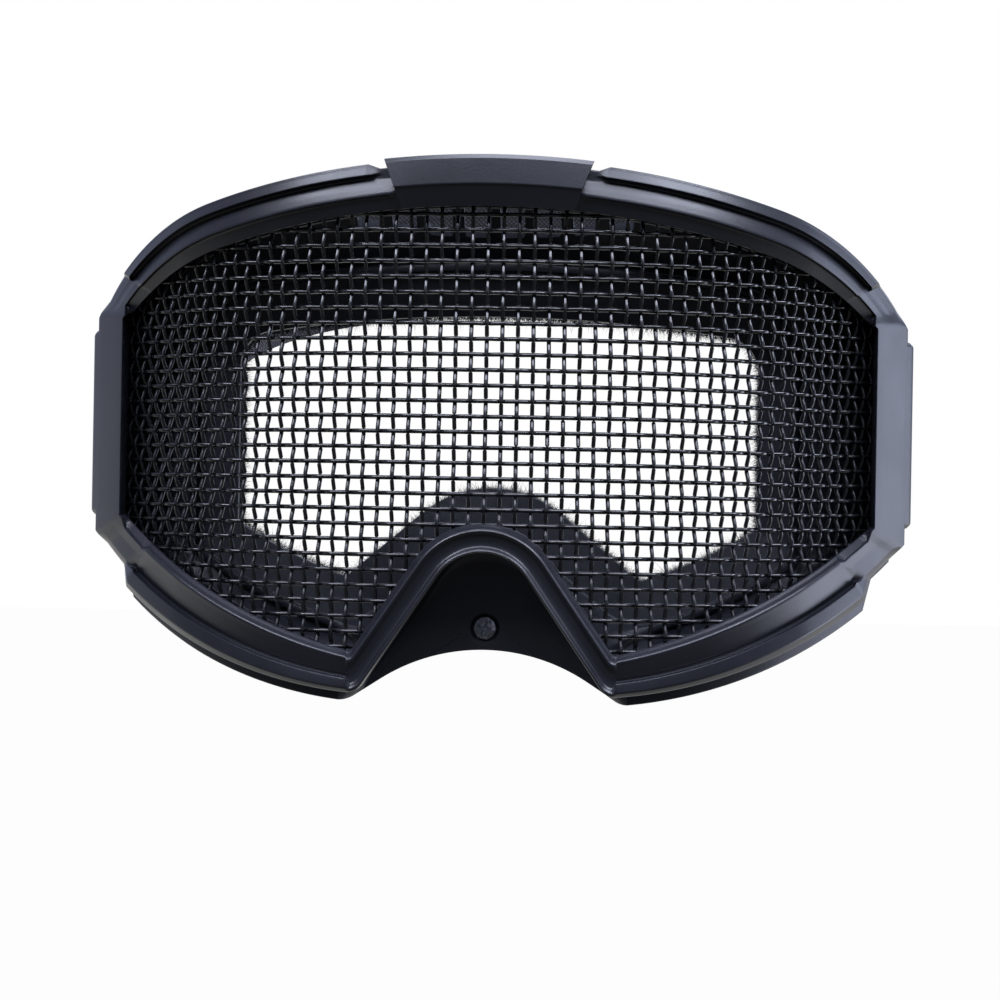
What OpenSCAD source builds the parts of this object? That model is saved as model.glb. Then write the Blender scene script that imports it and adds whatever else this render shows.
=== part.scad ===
// Airsoft goggles with a woven wire lens.
// X runs to the right as seen from the front, Y runs from the front towards the wearer, Z runs up.
// The origin is the middle of the foam's face plane. Depths in the code are measured from the
// foremost point of the lens, and placed() moves them to that origin.

/* [Woven lens] */
// Diameter of the steel wire
wire_d = 0.85; // [0.6:0.05:0.9]
// Distance from wire to wire, both ways
wire_pitch = 3.33; // [3:0.01:4]
// Least space between a weft wire and the warp wires that it passes
weave_gap = 0.1; // [0.08:0.01:0.15]
// Length of wire that lies under the bezel, past the edge of the opening
wire_tuck = 2.4; // [2:0.1:2.6]
// Radius of the lens in plan at its middle
lens_mid_r = 140; // [130:1:150]
// Half angle of the lens's middle arc
lens_mid_a = 8; // [7:0.5:9]
// Radius of the lens in plan where it turns to the sides
lens_turn_r = 80; // [78:0.5:82]
// Slope of the lens where the turn ends
lens_turn_a = 50; // [49:0.5:51]
// Radius of the lens in plan along the sides
lens_side_r = 190; // [180:1:200]

/* [Opening] */
// Width of the bezel beside the opening
side_band = 8.2; // [7.6:0.1:8.6]
// Height of the opening's top edge above the middle
open_top = 48.2; // [47:0.1:49]
// Radius of the opening's lower edge
open_low_r = 129.6; // [129:0.1:130]
// Height of the lower edge's centre
open_low_z = 79; // [78:0.1:80]
// Radius of the arch over the nose, on the lens side
nose_r = 17.5; // [17:0.1:18.5]
// Height of the arch's centre
nose_z = -37.1; // [-38:0.1:-36.5]
// Slope of the arch's legs
nose_leg_a = 55.6; // [54:0.2:57]
// Radius of the opening's corners beside the nose
nose_corner_r = 1.5; // [1:0.1:2]

/* [Bezel] */
// Radius of the brow in front view
brow_r = 220; // [200:1:240]
// Width of the bezel at the brow
brow_band = 10.2; // [9.5:0.1:11]
// Radius of the bezel's lower outer edge
rim_low_r = 99.8; // [99:0.1:100.5]
// How far the bezel's cheek strips stand out past that edge
cheek_strip = 3.2; // [2.6:0.1:3.6]
// Width of the bezel round the nose
nose_band = 6.2; // [5.5:0.1:7]
// Height of the bezel's strips over the lens
strip_h = 5.2; // [4.8:0.1:5.6]
// Height of the bezel's bands over the lens
band_h = 4.3; // [4:0.1:4.5]
// Depth of the bezel's grooves below its bands
groove_d = 1.1; // [0.6:0.1:1.4]
// Height of the bezel's inner edge over the lens
lip_h = 2.8; // [2.7:0.1:3.1]
// Space between the weave and the bezel or the hood
lens_gap = 0.4; // [0.3:0.05:0.5]

/* [Brow block] */
// Width of the block at its top
block_top_w = 44.4; // [42:0.2:46]
// Width of the block at its lower edge
block_low_w = 36.8; // [34:0.2:38]
// Height of the block's ridge over the lens
block_h = 6.6; // [6.2:0.1:7.2]
// Diameter of the block's two pegs
peg_d = 3; // [2.4:0.1:3.4]

/* [Side plates] */
// Height of a side plate
plate_h = 42.6; // [41:0.2:44]
// Height of the plates' middle above the goggles' middle
plate_z = 1.9; // [1:0.1:3]
// Thickness of a side plate
plate_t = 4.4; // [4:0.1:4.8]
// Overall width across the side plates
overall_w = 189; // [180:0.5:198]
// How far the plates stand out past the bezel
plate_proud = 1.5; // [1.2:0.1:1.8]
// How far the strap pivots lie behind the bezel's side edges
pivot_back = 9.7; // [9:0.1:12]

/* [Hood] */
// Wall of the hood
hood_wall = 2; // [1.6:0.1:2.2]
// How far the hood's lower edge stands proud of the bezel
hood_proud = 2.2; // [1.6:0.1:2.6]
// Width of a vent slot
vent_w = 5.4; // [4.5:0.1:6]
// Distance from slot to slot
vent_pitch = 8; // [7.6:0.1:9]
// Slots in the brow wall, and half as many in each cheek wall
vents = 8; // [6:2:8]
// Radius of the nose web's lower edge, and the height of its centre
web_arch_r = 41.5; // [40:0.1:43]
web_arch_z = -88.6; // [-90:0.1:-87]

/* [Face side] */
// Depth from the lens to the foam's face plane
seat_y = 46; // [45:0.5:48]
// Radius of the face that the foam follows in plan
face_r = 110; // [106:1:114]
// Thickness of the foam
foam_t = 12; // [10:0.5:13]
// Width of the foam
foam_w = 14; // [12:0.5:15]
// Thickness of the fleece on the foam
fleece_t = 1; // [0.8:0.1:1.4]
// Thickness of the flange that carries the foam
flange_t = 2.2; // [1.8:0.1:2.6]
// Half width of the eye port
port_half_w = 59; // [57:0.2:60]
// Height of the eye port's top edge
port_top = 26.4; // [25:0.2:28]
// Radius of the eye port's top edge
port_brow_r = 400; // [300:10:500]
// Radius of the eye port's lower edges, and the height of their centre
port_low_r = 111.8; // [110:0.2:113]
port_low_z = 74.7; // [74:0.1:76]
// Radius of the eye port's arch over the nose, and the height of its centre
port_nose_r = 24; // [23:0.2:25]
port_nose_z = -35.8; // [-37:0.1:-35]

/* [Screws] */
// Diameter of the nose screw's thread
nose_screw_d = 2.6; // [2.2:0.1:3]
// Diameter of the nose screw's head
nose_head_d = 5.2; // [4.6:0.1:5.6]
// Diameter of the four rim screws
rim_screw_d = 2; // [1.6:0.1:2.2]
// Diameter of the temple screws' shanks, on which the clips turn
pivot_d = 5; // [4.4:0.1:5.6]
// Running clearance of the clips on their shanks, on the radius
pivot_gap = 0.08; // [0.05:0.01:0.1]

/* [Strap] */
// Width of the elastic strap
strap_w = 38; // [36:0.5:40]
// Thickness of the elastic strap
strap_t = 1.5; // [1.2:0.1:1.8]
// How far the strap rises towards the back, in degrees
strap_tilt = 21; // [19:0.5:23]
// Distance from the pivots to the back of the strap
strap_back_l = 148; // [142:1:156]
// Radius of the strap where it turns to the back of the head
strap_turn_r = 55; // [52:1:58]
// Radius of the strap at the back of the head
strap_back_r = 100; // [96:1:104]
// Length of the strap's folded end
tail_l = 72; // [66:1:76]
// Distance from the clip's bar to the slider's middle
slider_at = 42; // [38:1:44]
// Thickness of a strap clip
clip_t = 3; // [2.6:0.1:3.2]
// Distance from a clip's pivot to its strap bar
clip_l = 17; // [16:0.2:19]
// Diameter of a clip's strap bar
bar_d = 3.4; // [3:0.1:3.8]
// Length of a slider along the strap
slider_l = 18; // [16:0.5:20]

/* [Hidden] */
$fn = 48;

black_plastic = "#23262e";
black_steel = "#3a3b3f";
black_foam = "#17181c";
black_fleece = "#1d1e23";
black_elastic = "#1f2026";
zinc = "#8d9098";

// Rise of the weft over each warp wire, its slant between two of them, and half of the weave's
// whole thickness
weave_g = wire_d + weave_gap;
weave_rise = weave_g * wire_pitch / sqrt(wire_pitch * wire_pitch - 4 * weave_g * weave_g);
weave_a = atan(2 * weave_rise / wire_pitch);
weave_h = weave_rise + wire_d / 2 / cos(weave_a);
// Heights over the lens of the faces that the weave lies between
clamp_h = weave_h + lens_gap;
// Seats that meet without touching
seat_gap = 0.3;

// Plan of the lens: three arcs that meet at a common tangent, on each side of the middle
lens_mid_x = lens_mid_r * sin(lens_mid_a);
lens_turn_c = [
    (lens_mid_r - lens_turn_r) * sin(lens_mid_a),
    lens_mid_r - (lens_mid_r - lens_turn_r) * cos(lens_mid_a)
];
lens_turn_x = lens_turn_c.x + lens_turn_r * sin(lens_turn_a);
lens_side_c = lens_turn_c + (lens_turn_r - lens_side_r) * [sin(lens_turn_a), -cos(lens_turn_a)];
lens_mid_s = lens_mid_r * lens_mid_a * PI / 180;
lens_turn_s = lens_mid_s + lens_turn_r * (lens_turn_a - lens_mid_a) * PI / 180;

// Slope of the lens at a distance x from the middle, and its depth there
function lens_slope(x) =
    let (a = abs(x))
    a < lens_mid_x ? asin(a / lens_mid_r)
    : a < lens_turn_x ? asin((a - lens_turn_c.x) / lens_turn_r)
    : asin((a - lens_side_c.x) / lens_side_r);
function lens_y(x) =
    let (a = abs(x), t = lens_slope(x))
    a < lens_mid_x ? lens_mid_r * (1 - cos(t))
    : a < lens_turn_x ? lens_turn_c.y - lens_turn_r * cos(t)
    : lens_side_c.y - lens_side_r * cos(t);
// Slope and place of the lens at a length s along its curve
function slope_at(s) =
    let (a = abs(s))
    a < lens_mid_s ? a / lens_mid_r * 180 / PI
    : a < lens_turn_s ? lens_mid_a + (a - lens_mid_s) / lens_turn_r * 180 / PI
    : lens_turn_a + (a - lens_turn_s) / lens_side_r * 180 / PI;
function lens_at(s) =
    let (
        t = slope_at(s),
        a = abs(s),
        c = a < lens_mid_s ? [0, lens_mid_r] : a < lens_turn_s ? lens_turn_c : lens_side_c,
        r = a < lens_mid_s ? lens_mid_r : a < lens_turn_s ? lens_turn_r : lens_side_r
    )
    [(s < 0 ? -1 : 1) * (c.x + r * sin(t)), c.y - r * cos(t)];
function lens_normal(s) = [(s < 0 ? -1 : 1) * sin(slope_at(s)), -cos(slope_at(s))];

// The outlines in front view. Each is one closed loop of arcs: brow, shoulder, side, cheek,
// corner, nose leg and nose arch. They share their stations, so that a skin can join any two.
// [top, brow radius, brow angle, half width, cheek centre, cheek radius,
//  nose centre height, nose radius, leg angle, corner radius]
brow_a = 15.9;
rim_cheek = [21.4, 46.5];
rim_half_w = overall_w / 2 - plate_proud;
open_half_w = rim_half_w - side_band;
rim_corner_r = 4;
web_corner_r = 5;
web_leg_a = 33;
port_brow_a = 7.5;
port_leg_a = 40;
port_corner_r = 2;
OPEN = [open_top, brow_r, brow_a, open_half_w, [0, open_low_z], open_low_r,
        nose_z, nose_r, nose_leg_a, nose_corner_r, 45];
EDGE = [open_top + brow_band, brow_r + brow_band, brow_a, rim_half_w, rim_cheek, rim_low_r,
        nose_z, nose_r - nose_band, nose_leg_a, rim_corner_r, 60.6];
RIM = [for (i = [0:10]) i == 5 ? rim_low_r + cheek_strip : EDGE[i]];
WEB = [EDGE[0], EDGE[1], brow_a, rim_half_w, rim_cheek, rim_low_r + cheek_strip + hood_proud,
       web_arch_z, web_arch_r, web_leg_a, web_corner_r, EDGE[10]];
PORT = [port_top, port_brow_r, port_brow_a, port_half_w, [0, port_low_z], port_low_r,
        port_nose_z, port_nose_r, port_leg_a, port_corner_r, 88];

function polar(c, r, a) = c + r * [sin(a), cos(a)];
function along(a, b, parts) = [for (f = parts) a + (b - a) * f];
function meet(p, d, c, r) =
    let (q = p - c, b = q * d)
    p + d * (-b + sqrt(b * b - q * q + r * r));

brow_parts = [0, 0.13, 0.26, 0.355, 0.395, 0.52, 0.64, 0.76, 0.88, 1];
shoulder_parts = [0.14, 0.28, 0.42, 0.56, 0.68, 0.71, 0.85, 1];
side_parts = [0.25, 0.5, 0.75, 1];
cheek_parts = [0.07, 0.15, 0.175, 0.3, 0.42, 0.54, 0.66, 0.78, 0.9, 1];
corner_parts = [0.33, 0.67, 1];
leg_parts = [0.33, 0.67, 1];
nose_parts = [0.2, 0.4, 0.6, 0.8, 1];

function half_loop(p, o) =
    let (
        top_c = [0, p[0] - p[1]],
        shoulder_r = (p[3] - p[1] * sin(p[2])) / (sin(p[10]) - sin(p[2])),
        shoulder_c = polar(top_c, p[1] - shoulder_r, p[2]),
        shoulder_end = asin((p[3] + o - shoulder_c.x) / (shoulder_r + o)),
        side_top = polar(shoulder_c, shoulder_r + o, shoulder_end),
        cheek_end = 180 - asin((p[3] + o - p[4].x) / (p[5] + o)),
        side_low = polar(p[4], p[5] + o, cheek_end),
        nose_c = [0, p[6]],
        leg_d = [cos(p[8]), -sin(p[8])],
        corner_c = meet(polar(nose_c, p[7] + p[9], p[8]), leg_d, p[4], p[5] - p[9]),
        cheek_start = atan2(corner_c.x - p[4].x, corner_c.y - p[4].y),
        corner_end = polar(corner_c, p[9] + o, 180 + p[8]),
        leg_top = polar(nose_c, p[7] - o, p[8])
    )
    concat(
        [for (a = along(0, p[2], brow_parts)) polar(top_c, p[1] + o, a)],
        [for (a = along(p[2], shoulder_end, shoulder_parts)) polar(shoulder_c, shoulder_r + o, a)],
        along(side_top, side_low, side_parts),
        [for (a = along(cheek_end, cheek_start, cheek_parts)) polar(p[4], p[5] + o, a)],
        [for (a = along(cheek_start, 180 + p[8], corner_parts)) polar(corner_c, p[9] + o, a)],
        along(corner_end, leg_top, leg_parts),
        [for (a = along(p[8], 0, nose_parts)) polar(nose_c, p[7] - o, a)]
    );
function loop(p, o = 0) =
    let (h = half_loop(p, o), n = len(h))
    concat(h, [for (k = [n - 2:-1:1]) [-h[k].x, h[k].y]]);

half_n = len(half_loop(OPEN, 0));
loop_n = 2 * half_n - 2;
// The zones of a loop, by the station's number in its half
block_last = 3;
strip_first = 4;
strip_last = len(brow_parts) + 4;
side_first = len(brow_parts) + len(shoulder_parts) - 1;
side_last = len(brow_parts) + len(shoulder_parts) + len(side_parts) - 1;
cheek_strip_first = side_last + 3;
cheek_last = side_last + len(cheek_parts);
function half_index(k) = k < half_n ? k : loop_n - k;
function zone(k) =
    let (j = half_index(k))
    j <= block_last ? 0 : j <= strip_last ? 1 : j < side_first ? 2 : j <= side_last ? 6
    : j < cheek_strip_first ? 3 : j <= cheek_last ? 4 : 5;

open_line = loop(OPEN);
web_line = loop(WEB);
function on_strip(k) = half_index(k) >= cheek_strip_first;
function strip_line(out, in) = [for (k = [0:loop_n - 1]) on_strip(k) ? out[k] : in[k]];
rim_line = strip_line(loop(RIM), loop(EDGE));
port_line = loop(PORT);
rear_line = loop(PORT, foam_w);
// The hood's front edge keeps inside the side plates
hood_low_line = strip_line(web_line, loop(EDGE, 0.9));
body_parts = concat([for (k = [1:15]) 0.95], [0.82, 0.66, 0.5, 0.5, 0.5, 0.5, 0.5]);
body_line = [for (k = [0:loop_n - 1])
    let (j = half_index(k))
    j <= side_last ? open_line[k] + (rim_line[k] - open_line[k]) * body_parts[j]
    : hood_low_line[k]];

// Loops in space: on a surface at a height over the lens, or on a cylinder of the face
function over_lens(line, h) =
    [for (k = [0:loop_n - 1])
        let (p = line[k], hk = is_list(h) ? h[k] : h)
        [p.x, lens_y(p.x) - hk / cos(lens_slope(p.x)), p.y]];
face_c = seat_y + face_r;
function on_face(line, r) = [for (p = line) [p.x, face_c - sqrt(r * r - p.x * p.x), p.y]];
function between(a, b, t) =
    [for (k = [0:loop_n - 1]) a[k] + (b[k] - a[k]) * (is_list(t) ? t[k] : t)];
function by_zone(values) = is_list(values) ? [for (k = [0:loop_n - 1]) values[zone(k)]] : values;

// A skin through closed loops in space, the last joined to the first
module ring_skin(rows) {
    m = len(rows);
    n = len(rows[0]);
    polyhedron(
        [for (row = rows) each row],
        [for (i = [0:m - 1], k = [0:n - 1])
            let (
                a = i * n + k,
                b = i * n + (k + 1) % n,
                c = ((i + 1) % m) * n + (k + 1) % n,
                d = ((i + 1) % m) * n + k
            )
            each [[a, c, b], [a, d, c]]]
    );
}

module placed() {
    translate([0, -seat_y, 0]) children();
}

module on_side(side) {
    if (side < 0) mirror([1, 0, 0]) children();
    else children();
}

// A cylinder along Y from one depth to another, and one along X
module along_y(x, z, y0, y1, d) {
    translate([x, y0, z]) rotate([-90, 0, 0]) cylinder(d = d, h = y1 - y0);
}
module along_x(x0, x1, y, z, d) {
    translate([x0, y, z]) rotate([0, 90, 0]) cylinder(d = d, h = x1 - x0);
}

// One open skin through sections of the same number of points, closed at both ends
module section_skin(sections) {
    n = len(sections[0]);
    last = len(sections) - 1;
    polyhedron(
        [for (s = sections) each s],
        concat(
            [for (i = [0:last - 1], k = [0:n - 1])
                let (
                    a = i * n + k,
                    b = i * n + (k + 1) % n,
                    c = (i + 1) * n + (k + 1) % n,
                    d = (i + 1) * n + k
                )
                each [[a, c, b], [a, d, c]]],
            [for (k = [1:n - 2]) [0, k, k + 1]],
            [for (k = [1:n - 2]) [last * n, last * n + k + 1, last * n + k]]
        )
    );
}

// Bezel, a moulded ring whose section changes from zone to zone: under the brow block,
// brow strip, shoulder, below the side, cheek strip, nose, and the side beside the plates
foot_h = seat_gap - clamp_h;
foot_line = loop(OPEN, wire_tuck + 1.2 + seat_gap);
seat_h = band_h - seat_gap;
groove_h = band_h - groove_d;
rib_h = strip_h - 0.3;
bevel_h = band_h - 0.4;
bezel_section = [
    [0, lip_h],
    [[0.1, 0.36, 0.36, 0.26, 0.15, 0.14, 0.06],
     [seat_h, bevel_h, bevel_h, bevel_h, bevel_h - 0.3, bevel_h - 0.5, bevel_h]],
    [[0.39, 0.39, 0.39, 0.32, 0.2, 0.24, 0.12], [seat_h, band_h, band_h, rib_h, rib_h, rib_h, rib_h]],
    [[0.43, 0.43, 0.43, 0.39, 0.27, 0.34, 0.3], [seat_h, band_h, band_h, rib_h, rib_h, rib_h, rib_h]],
    [[0.47, 0.47, 0.47, 0.46, 0.32, 0.4, 0.45], [seat_h, band_h, band_h, band_h, bevel_h, band_h, rib_h]],
    [[0.62, 0.62, 0.62, 0.6, 0.6, 0.66, 0.6], [seat_h, band_h, band_h, band_h, bevel_h, band_h, rib_h]],
    [[0.64, 0.64, 0.64, 0.7, 0.62, 0.69, 0.7],
     [seat_h, groove_h, band_h, band_h, groove_h, bevel_h, rib_h]],
    [[0.7, 0.7, 0.7, 0.78, 0.67, 0.75, 0.78],
     [seat_h, groove_h, band_h, band_h, groove_h, bevel_h, rib_h]],
    [[0.73, 0.73, 0.73, 0.84, 0.7, 0.8, 0.84], [seat_h, strip_h, band_h, band_h, strip_h, rib_h, rib_h]],
    [[0.84, 0.95, 0.95, 0.93, 0.95, 0.93, 0.95],
     [seat_h, strip_h, bevel_h, bevel_h, strip_h, rib_h, rib_h]],
    [[0.88, 1, 1, 1, 1, 1, 1], [bevel_h, band_h, lip_h, lip_h, band_h, band_h, band_h]],
    [[0.88, 1, 1, 1, 1, 1, 1], foot_h]
];
bezel_rows = concat(
    [for (p = bezel_section)
        over_lens(between(open_line, rim_line, by_zone(p[0])), by_zone(p[1]))],
    [over_lens(foot_line, foot_h), over_lens(foot_line, clamp_h), over_lens(open_line, clamp_h)]
);

// Places of the block's pegs and of the rim screws, in front view
brow_z = open_top + brow_band / 2;
peg_x = 12;
peg_len = 2;
peg_fit = 0.1;
rim_t = 2.2;
rim_head_d = rim_screw_d + 1.2;
rim_head_t = 1.2;
rim_seat = clamp_h + rim_t - 0.4;
rim_screw_at = [[36, arc_z(RIM, 0, 36) - 4.9], [38, cheek_z(RIM, 0, 38) + 3.2]];

// Heights of an outline's upper and lower edges at a distance x from the middle
function arc_z(p, o, x) = p[0] - p[1] + sqrt(pow(p[1] + o, 2) - x * x);
function shoulder_z(p, o, x) =
    let (
        r = (p[3] - p[1] * sin(p[2])) / (sin(p[10]) - sin(p[2])),
        c = polar([0, p[0] - p[1]], p[1] - r, p[2])
    )
    c.y + sqrt(max(0, pow(r + o, 2) - pow(x - c.x, 2)));
function top_z(p, o, x) =
    abs(x) < (p[1] + o) * sin(p[2]) ? arc_z(p, o, abs(x)) : shoulder_z(p, o, abs(x));
function cheek_z(p, o, x) = p[4].y - sqrt(pow(p[5] + o, 2) - pow(abs(x) - p[4].x, 2));
function nose_edge_z(p, o, x) =
    let (r = p[7] - o, t = polar([0, p[6]], r, p[8]))
    abs(x) < t.x ? p[6] + sqrt(r * r - x * x) : t.y - (abs(x) - t.x) * tan(p[8]);
function low_z(p, o, x) = max(cheek_z(p, o, x), nose_edge_z(p, o, x));

// A cylinder along Y between two depths from the lens
module lens_rod(at, y0, y1, d) {
    along_y(at.x, at.y, lens_y(at.x) + y0, lens_y(at.x) + y1, d);
}

plate_in = overall_w / 2 - plate_t;
plate_front_y = lens_y(plate_in) - 2 * strip_h;
pivot_y = lens_y(rim_half_w) + pivot_back;
pivot_hub_r = 9.5;
plate_end = [pivot_y + pivot_hub_r * cos(40), pivot_hub_r * sin(40)];
screw_head_d = pivot_d + 3.6;
screw_head_t = 1.9;
head_gap = 0.2;
module side_plate() {
    difference() {
        intersection() {
            union() {
                translate([plate_in, 0, plate_z]) rotate([90, 0, 90])
                    linear_extrude(plate_t) polygon([
                        [plate_front_y, -plate_h / 2], [pivot_y - 6, -plate_h / 2],
                        [pivot_y + 2, -plate_h / 2 + 6], [plate_end.x, -plate_end.y],
                        plate_end, [pivot_y + 2, plate_h / 2 - 6],
                        [pivot_y - 6, plate_h / 2], [plate_front_y, plate_h / 2]
                    ]);
                along_x(plate_in, overall_w / 2, pivot_y, plate_z, 2 * pivot_hub_r);
            }
            translate([lens_side_c.x, lens_side_c.y, plate_z - plate_h])
                cylinder(r = lens_side_r + strip_h, h = 2 * plate_h, $fn = 96);
        }
        along_x(plate_in - 1, overall_w / 2 + 1, pivot_y, plate_z, pivot_d + 2 * pivot_gap);
        along_x(overall_w / 2 - screw_head_t - head_gap, overall_w / 2 + 1, pivot_y, plate_z,
            screw_head_d + 2 * head_gap);
    }
}

module front_bezel() {
    color(black_plastic) placed() {
        difference() {
            ring_skin(bezel_rows);
            for (side = [-1, 1]) {
                lens_rod([side * peg_x, brow_z], -band_h - 1, peg_len + 0.3 - band_h,
                    peg_d + 2 * peg_fit);
                for (at = rim_screw_at) {
                    lens_rod([side * at.x, at.y], -1.9, 4, rim_screw_d + 0.1);
                }
            }
        }
        for (side = [-1, 1]) on_side(side) side_plate();
    }
}

// Brow block, with a ridge along its face
block_steps = 10;
block_section = [
    [-0.01, band_h], [1.07, band_h], [1.07, band_h + 0.5], [0.98, block_h - 1],
    [0.5, block_h], [-0.01, band_h + 0.7]
];
function block_point(u, t, h) =
    let (
        x = u * (block_low_w + (block_top_w - block_low_w) * t) / 2,
        z0 = arc_z(OPEN, 0, x),
        z1 = arc_z(RIM, 0, x)
    )
    [x, lens_y(x) - h / cos(lens_slope(x)), z0 + (z1 - z0) * t];
module brow_block() {
    color(black_plastic) placed() union() {
        section_skin([for (i = [0:block_steps])
            [for (p = block_section) block_point(2 * i / block_steps - 1, p[0], p[1])]]);
        for (side = [-1, 1]) {
            lens_rod([side * peg_x, brow_z], -band_h - 1, peg_len - band_h, peg_d);
        }
    }
}

// Warp: straight upright wires along the lens
wire_n = max([for (i = [1:60]) if (lens_at(i * wire_pitch).x < open_half_w + wire_tuck - 0.4) i]);
function wire_x(i) = lens_at(i * wire_pitch).x;
module mesh_warp_wires() {
    color(black_steel) placed() {
        for (i = [-wire_n:wire_n]) {
            at = lens_at(i * wire_pitch);
            sides = [abs(at.x) - wire_d / 2, abs(at.x) + wire_d / 2];
            z0 = max([for (x = sides) low_z(OPEN, wire_tuck, x)]);
            z1 = min([for (x = sides) top_z(OPEN, wire_tuck, x)]);
            translate([at.x, at.y, z0]) cylinder(d = wire_d, h = z1 - z0, $fn = 16);
        }
    }
}

// Weft: crimped wires that pass in front of one warp wire and behind the next
weft_end = 0.3;
weft_inset = 0.95;
weft_half = wire_d / 2 / cos(weave_a);
weft_rows = [for (j = [-30:30])
    let (z = j * wire_pitch)
    if (len([for (i = [0:wire_n]) if (crosses(i, z)) i]) > 2) j];
function crosses(i, z) =
    let (x = wire_x(i))
    low_z(OPEN, wire_tuck, x) + weft_inset < z && z < top_z(OPEN, wire_tuck, x) - weft_inset;
function weft_point(s, off) = lens_at(s) + lens_normal(s) * off;
function weft_sign(i, j) = abs(i + j) % 2 == 0 ? 1 : -1;
module weft_wire(wires, j) {
    first = wires[0];
    last = wires[len(wires) - 1];
    path = concat(
        [[first * wire_pitch - weft_end, weft_sign(first, j) * weave_rise * 0.6]],
        [for (i = wires) [i * wire_pitch, weft_sign(i, j) * weave_rise]],
        [[last * wire_pitch + weft_end, weft_sign(last, j) * weave_rise * 0.6]]
    );
    translate([0, 0, j * wire_pitch - wire_d / 2]) linear_extrude(wire_d) polygon(concat(
        [for (p = path) weft_point(p[0], p[1] + weft_half)],
        [for (k = [len(path) - 1:-1:0]) weft_point(path[k][0], path[k][1] - weft_half)]
    ));
}
module mesh_weft_wires() {
    color(black_steel) placed() {
        for (j = weft_rows) {
            z = j * wire_pitch;
            if (crosses(0, z)) {
                weft_wire([for (i = [-wire_n:wire_n]) if (crosses(i, z)) i], j);
            } else {
                weft_wire([for (i = [-wire_n:-1]) if (crosses(i, z)) i], j);
                weft_wire([for (i = [1:wire_n]) if (crosses(i, z)) i], j);
            }
        }
    }
}

// Band pressed round the cut edge of the woven lens
edge_in = wire_tuck + seat_gap + 0.15;
edge_out = edge_in + 0.75;
module mesh_edge_band() {
    color(black_steel) placed() ring_skin([
        over_lens(loop(OPEN, edge_in), weave_h),
        over_lens(loop(OPEN, edge_out), weave_h),
        over_lens(loop(OPEN, edge_out), -weave_h),
        over_lens(loop(OPEN, edge_in), -weave_h)
    ]);
}

// Stations of the nose: 0 along the cheek, 1 from the leg on, and a blend round the corner
nose_blend = [0.25, 0.55, 0.8, 1];
function nose_t(j) = j <= cheek_last ? 0 : j <= cheek_last + 4 ? nose_blend[j - cheek_last - 1] : 1;
nose_share = [for (k = [0:loop_n - 1]) nose_t(half_index(k))];
function toward_nose(a, b) = blend_to(a, b, nose_share);
function blend_to(a, b, share) =
    [for (k = [0:loop_n - 1]) a[k] + (b[k] - a[k]) * share[k]];
function at_depth(line, y) = [for (p = line) [p.x, y, p.y]];
// Between two loops in space, at one share in front view and another in depth
function part_way(a, b, t, ty) =
    [for (k = [0:loop_n - 1])
        let (d = b[k] - a[k], tk = is_list(t) ? t[k] : t)
        a[k] + [d.x * tk, d.y * ty, d.z * tk]];

// Hood: rim face under the bezel, walls that taper to the foam, and a web over the nose
web_y = 11;
web_t = 2.4;
flange_r = face_r + foam_t + seat_gap;
hood_rear_r = flange_r + flange_t + seat_gap;
hood_in_line = loop(PORT, foam_w - hood_wall);
web_rise = [for (k = [0:loop_n - 1]) web_line[k] + [0, 0.5]];
rim_back_h = -clamp_h - rim_t;
wall_in = by_zone([0.77, 0.77, 0.45, 0.82, 0.84, 0.84, 0.45]);
wall_mid = by_zone([0.3, 0.3, 0.55, 0.42, 0.3, 0.3, 0.55]);
hood_edge = over_lens(between(open_line, body_line, 0.97), rim_back_h);
hood_wall_in = over_lens(between(open_line, body_line, wall_in), rim_back_h);
hood_rear = on_face(rear_line, hood_rear_r);
hood_rear_in = on_face(hood_in_line, hood_rear_r);
hood_rows = [
    over_lens(open_line, -clamp_h),
    toward_nose(over_lens(between(open_line, body_line, 0.5), -clamp_h),
        over_lens(between(open_line, rim_line, 0.95), -clamp_h)),
    toward_nose(over_lens(between(open_line, body_line, 0.7), -clamp_h),
        at_depth(between(open_line, rim_line, 0.97), web_y - 1.4)),
    toward_nose(over_lens(between(open_line, body_line, 0.85), -clamp_h),
        at_depth(between(rim_line, web_line, 0.08), web_y)),
    toward_nose(over_lens(body_line, -clamp_h), at_depth(web_line, web_y)),
    toward_nose(over_lens(body_line, -clamp_h - 1.2), at_depth(web_line, web_y + 0.6)),
    toward_nose(hood_edge, at_depth(web_line, web_y + 1.2)),
    toward_nose(part_way(hood_edge, hood_rear, wall_mid, 0.55), at_depth(web_line, web_y + 1.8)),
    toward_nose(hood_rear, at_depth(web_rise, web_y + web_t)),
    toward_nose(hood_rear_in, at_depth(between(rim_line, web_line, 0.85), web_y + web_t)),
    toward_nose(part_way(hood_wall_in, hood_rear_in, wall_mid, 0.55),
        at_depth(between(rim_line, web_line, 0.4), web_y + web_t)),
    toward_nose(hood_wall_in, at_depth(between(open_line, rim_line, 0.66), web_y + web_t)),
    over_lens(open_line, rim_back_h)
];
nose_screw_z = -42.3;
nose_head_t = 1.3;
vent_y = 12;
vent_l = 14;
cheek_vent_x = 32;
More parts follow.
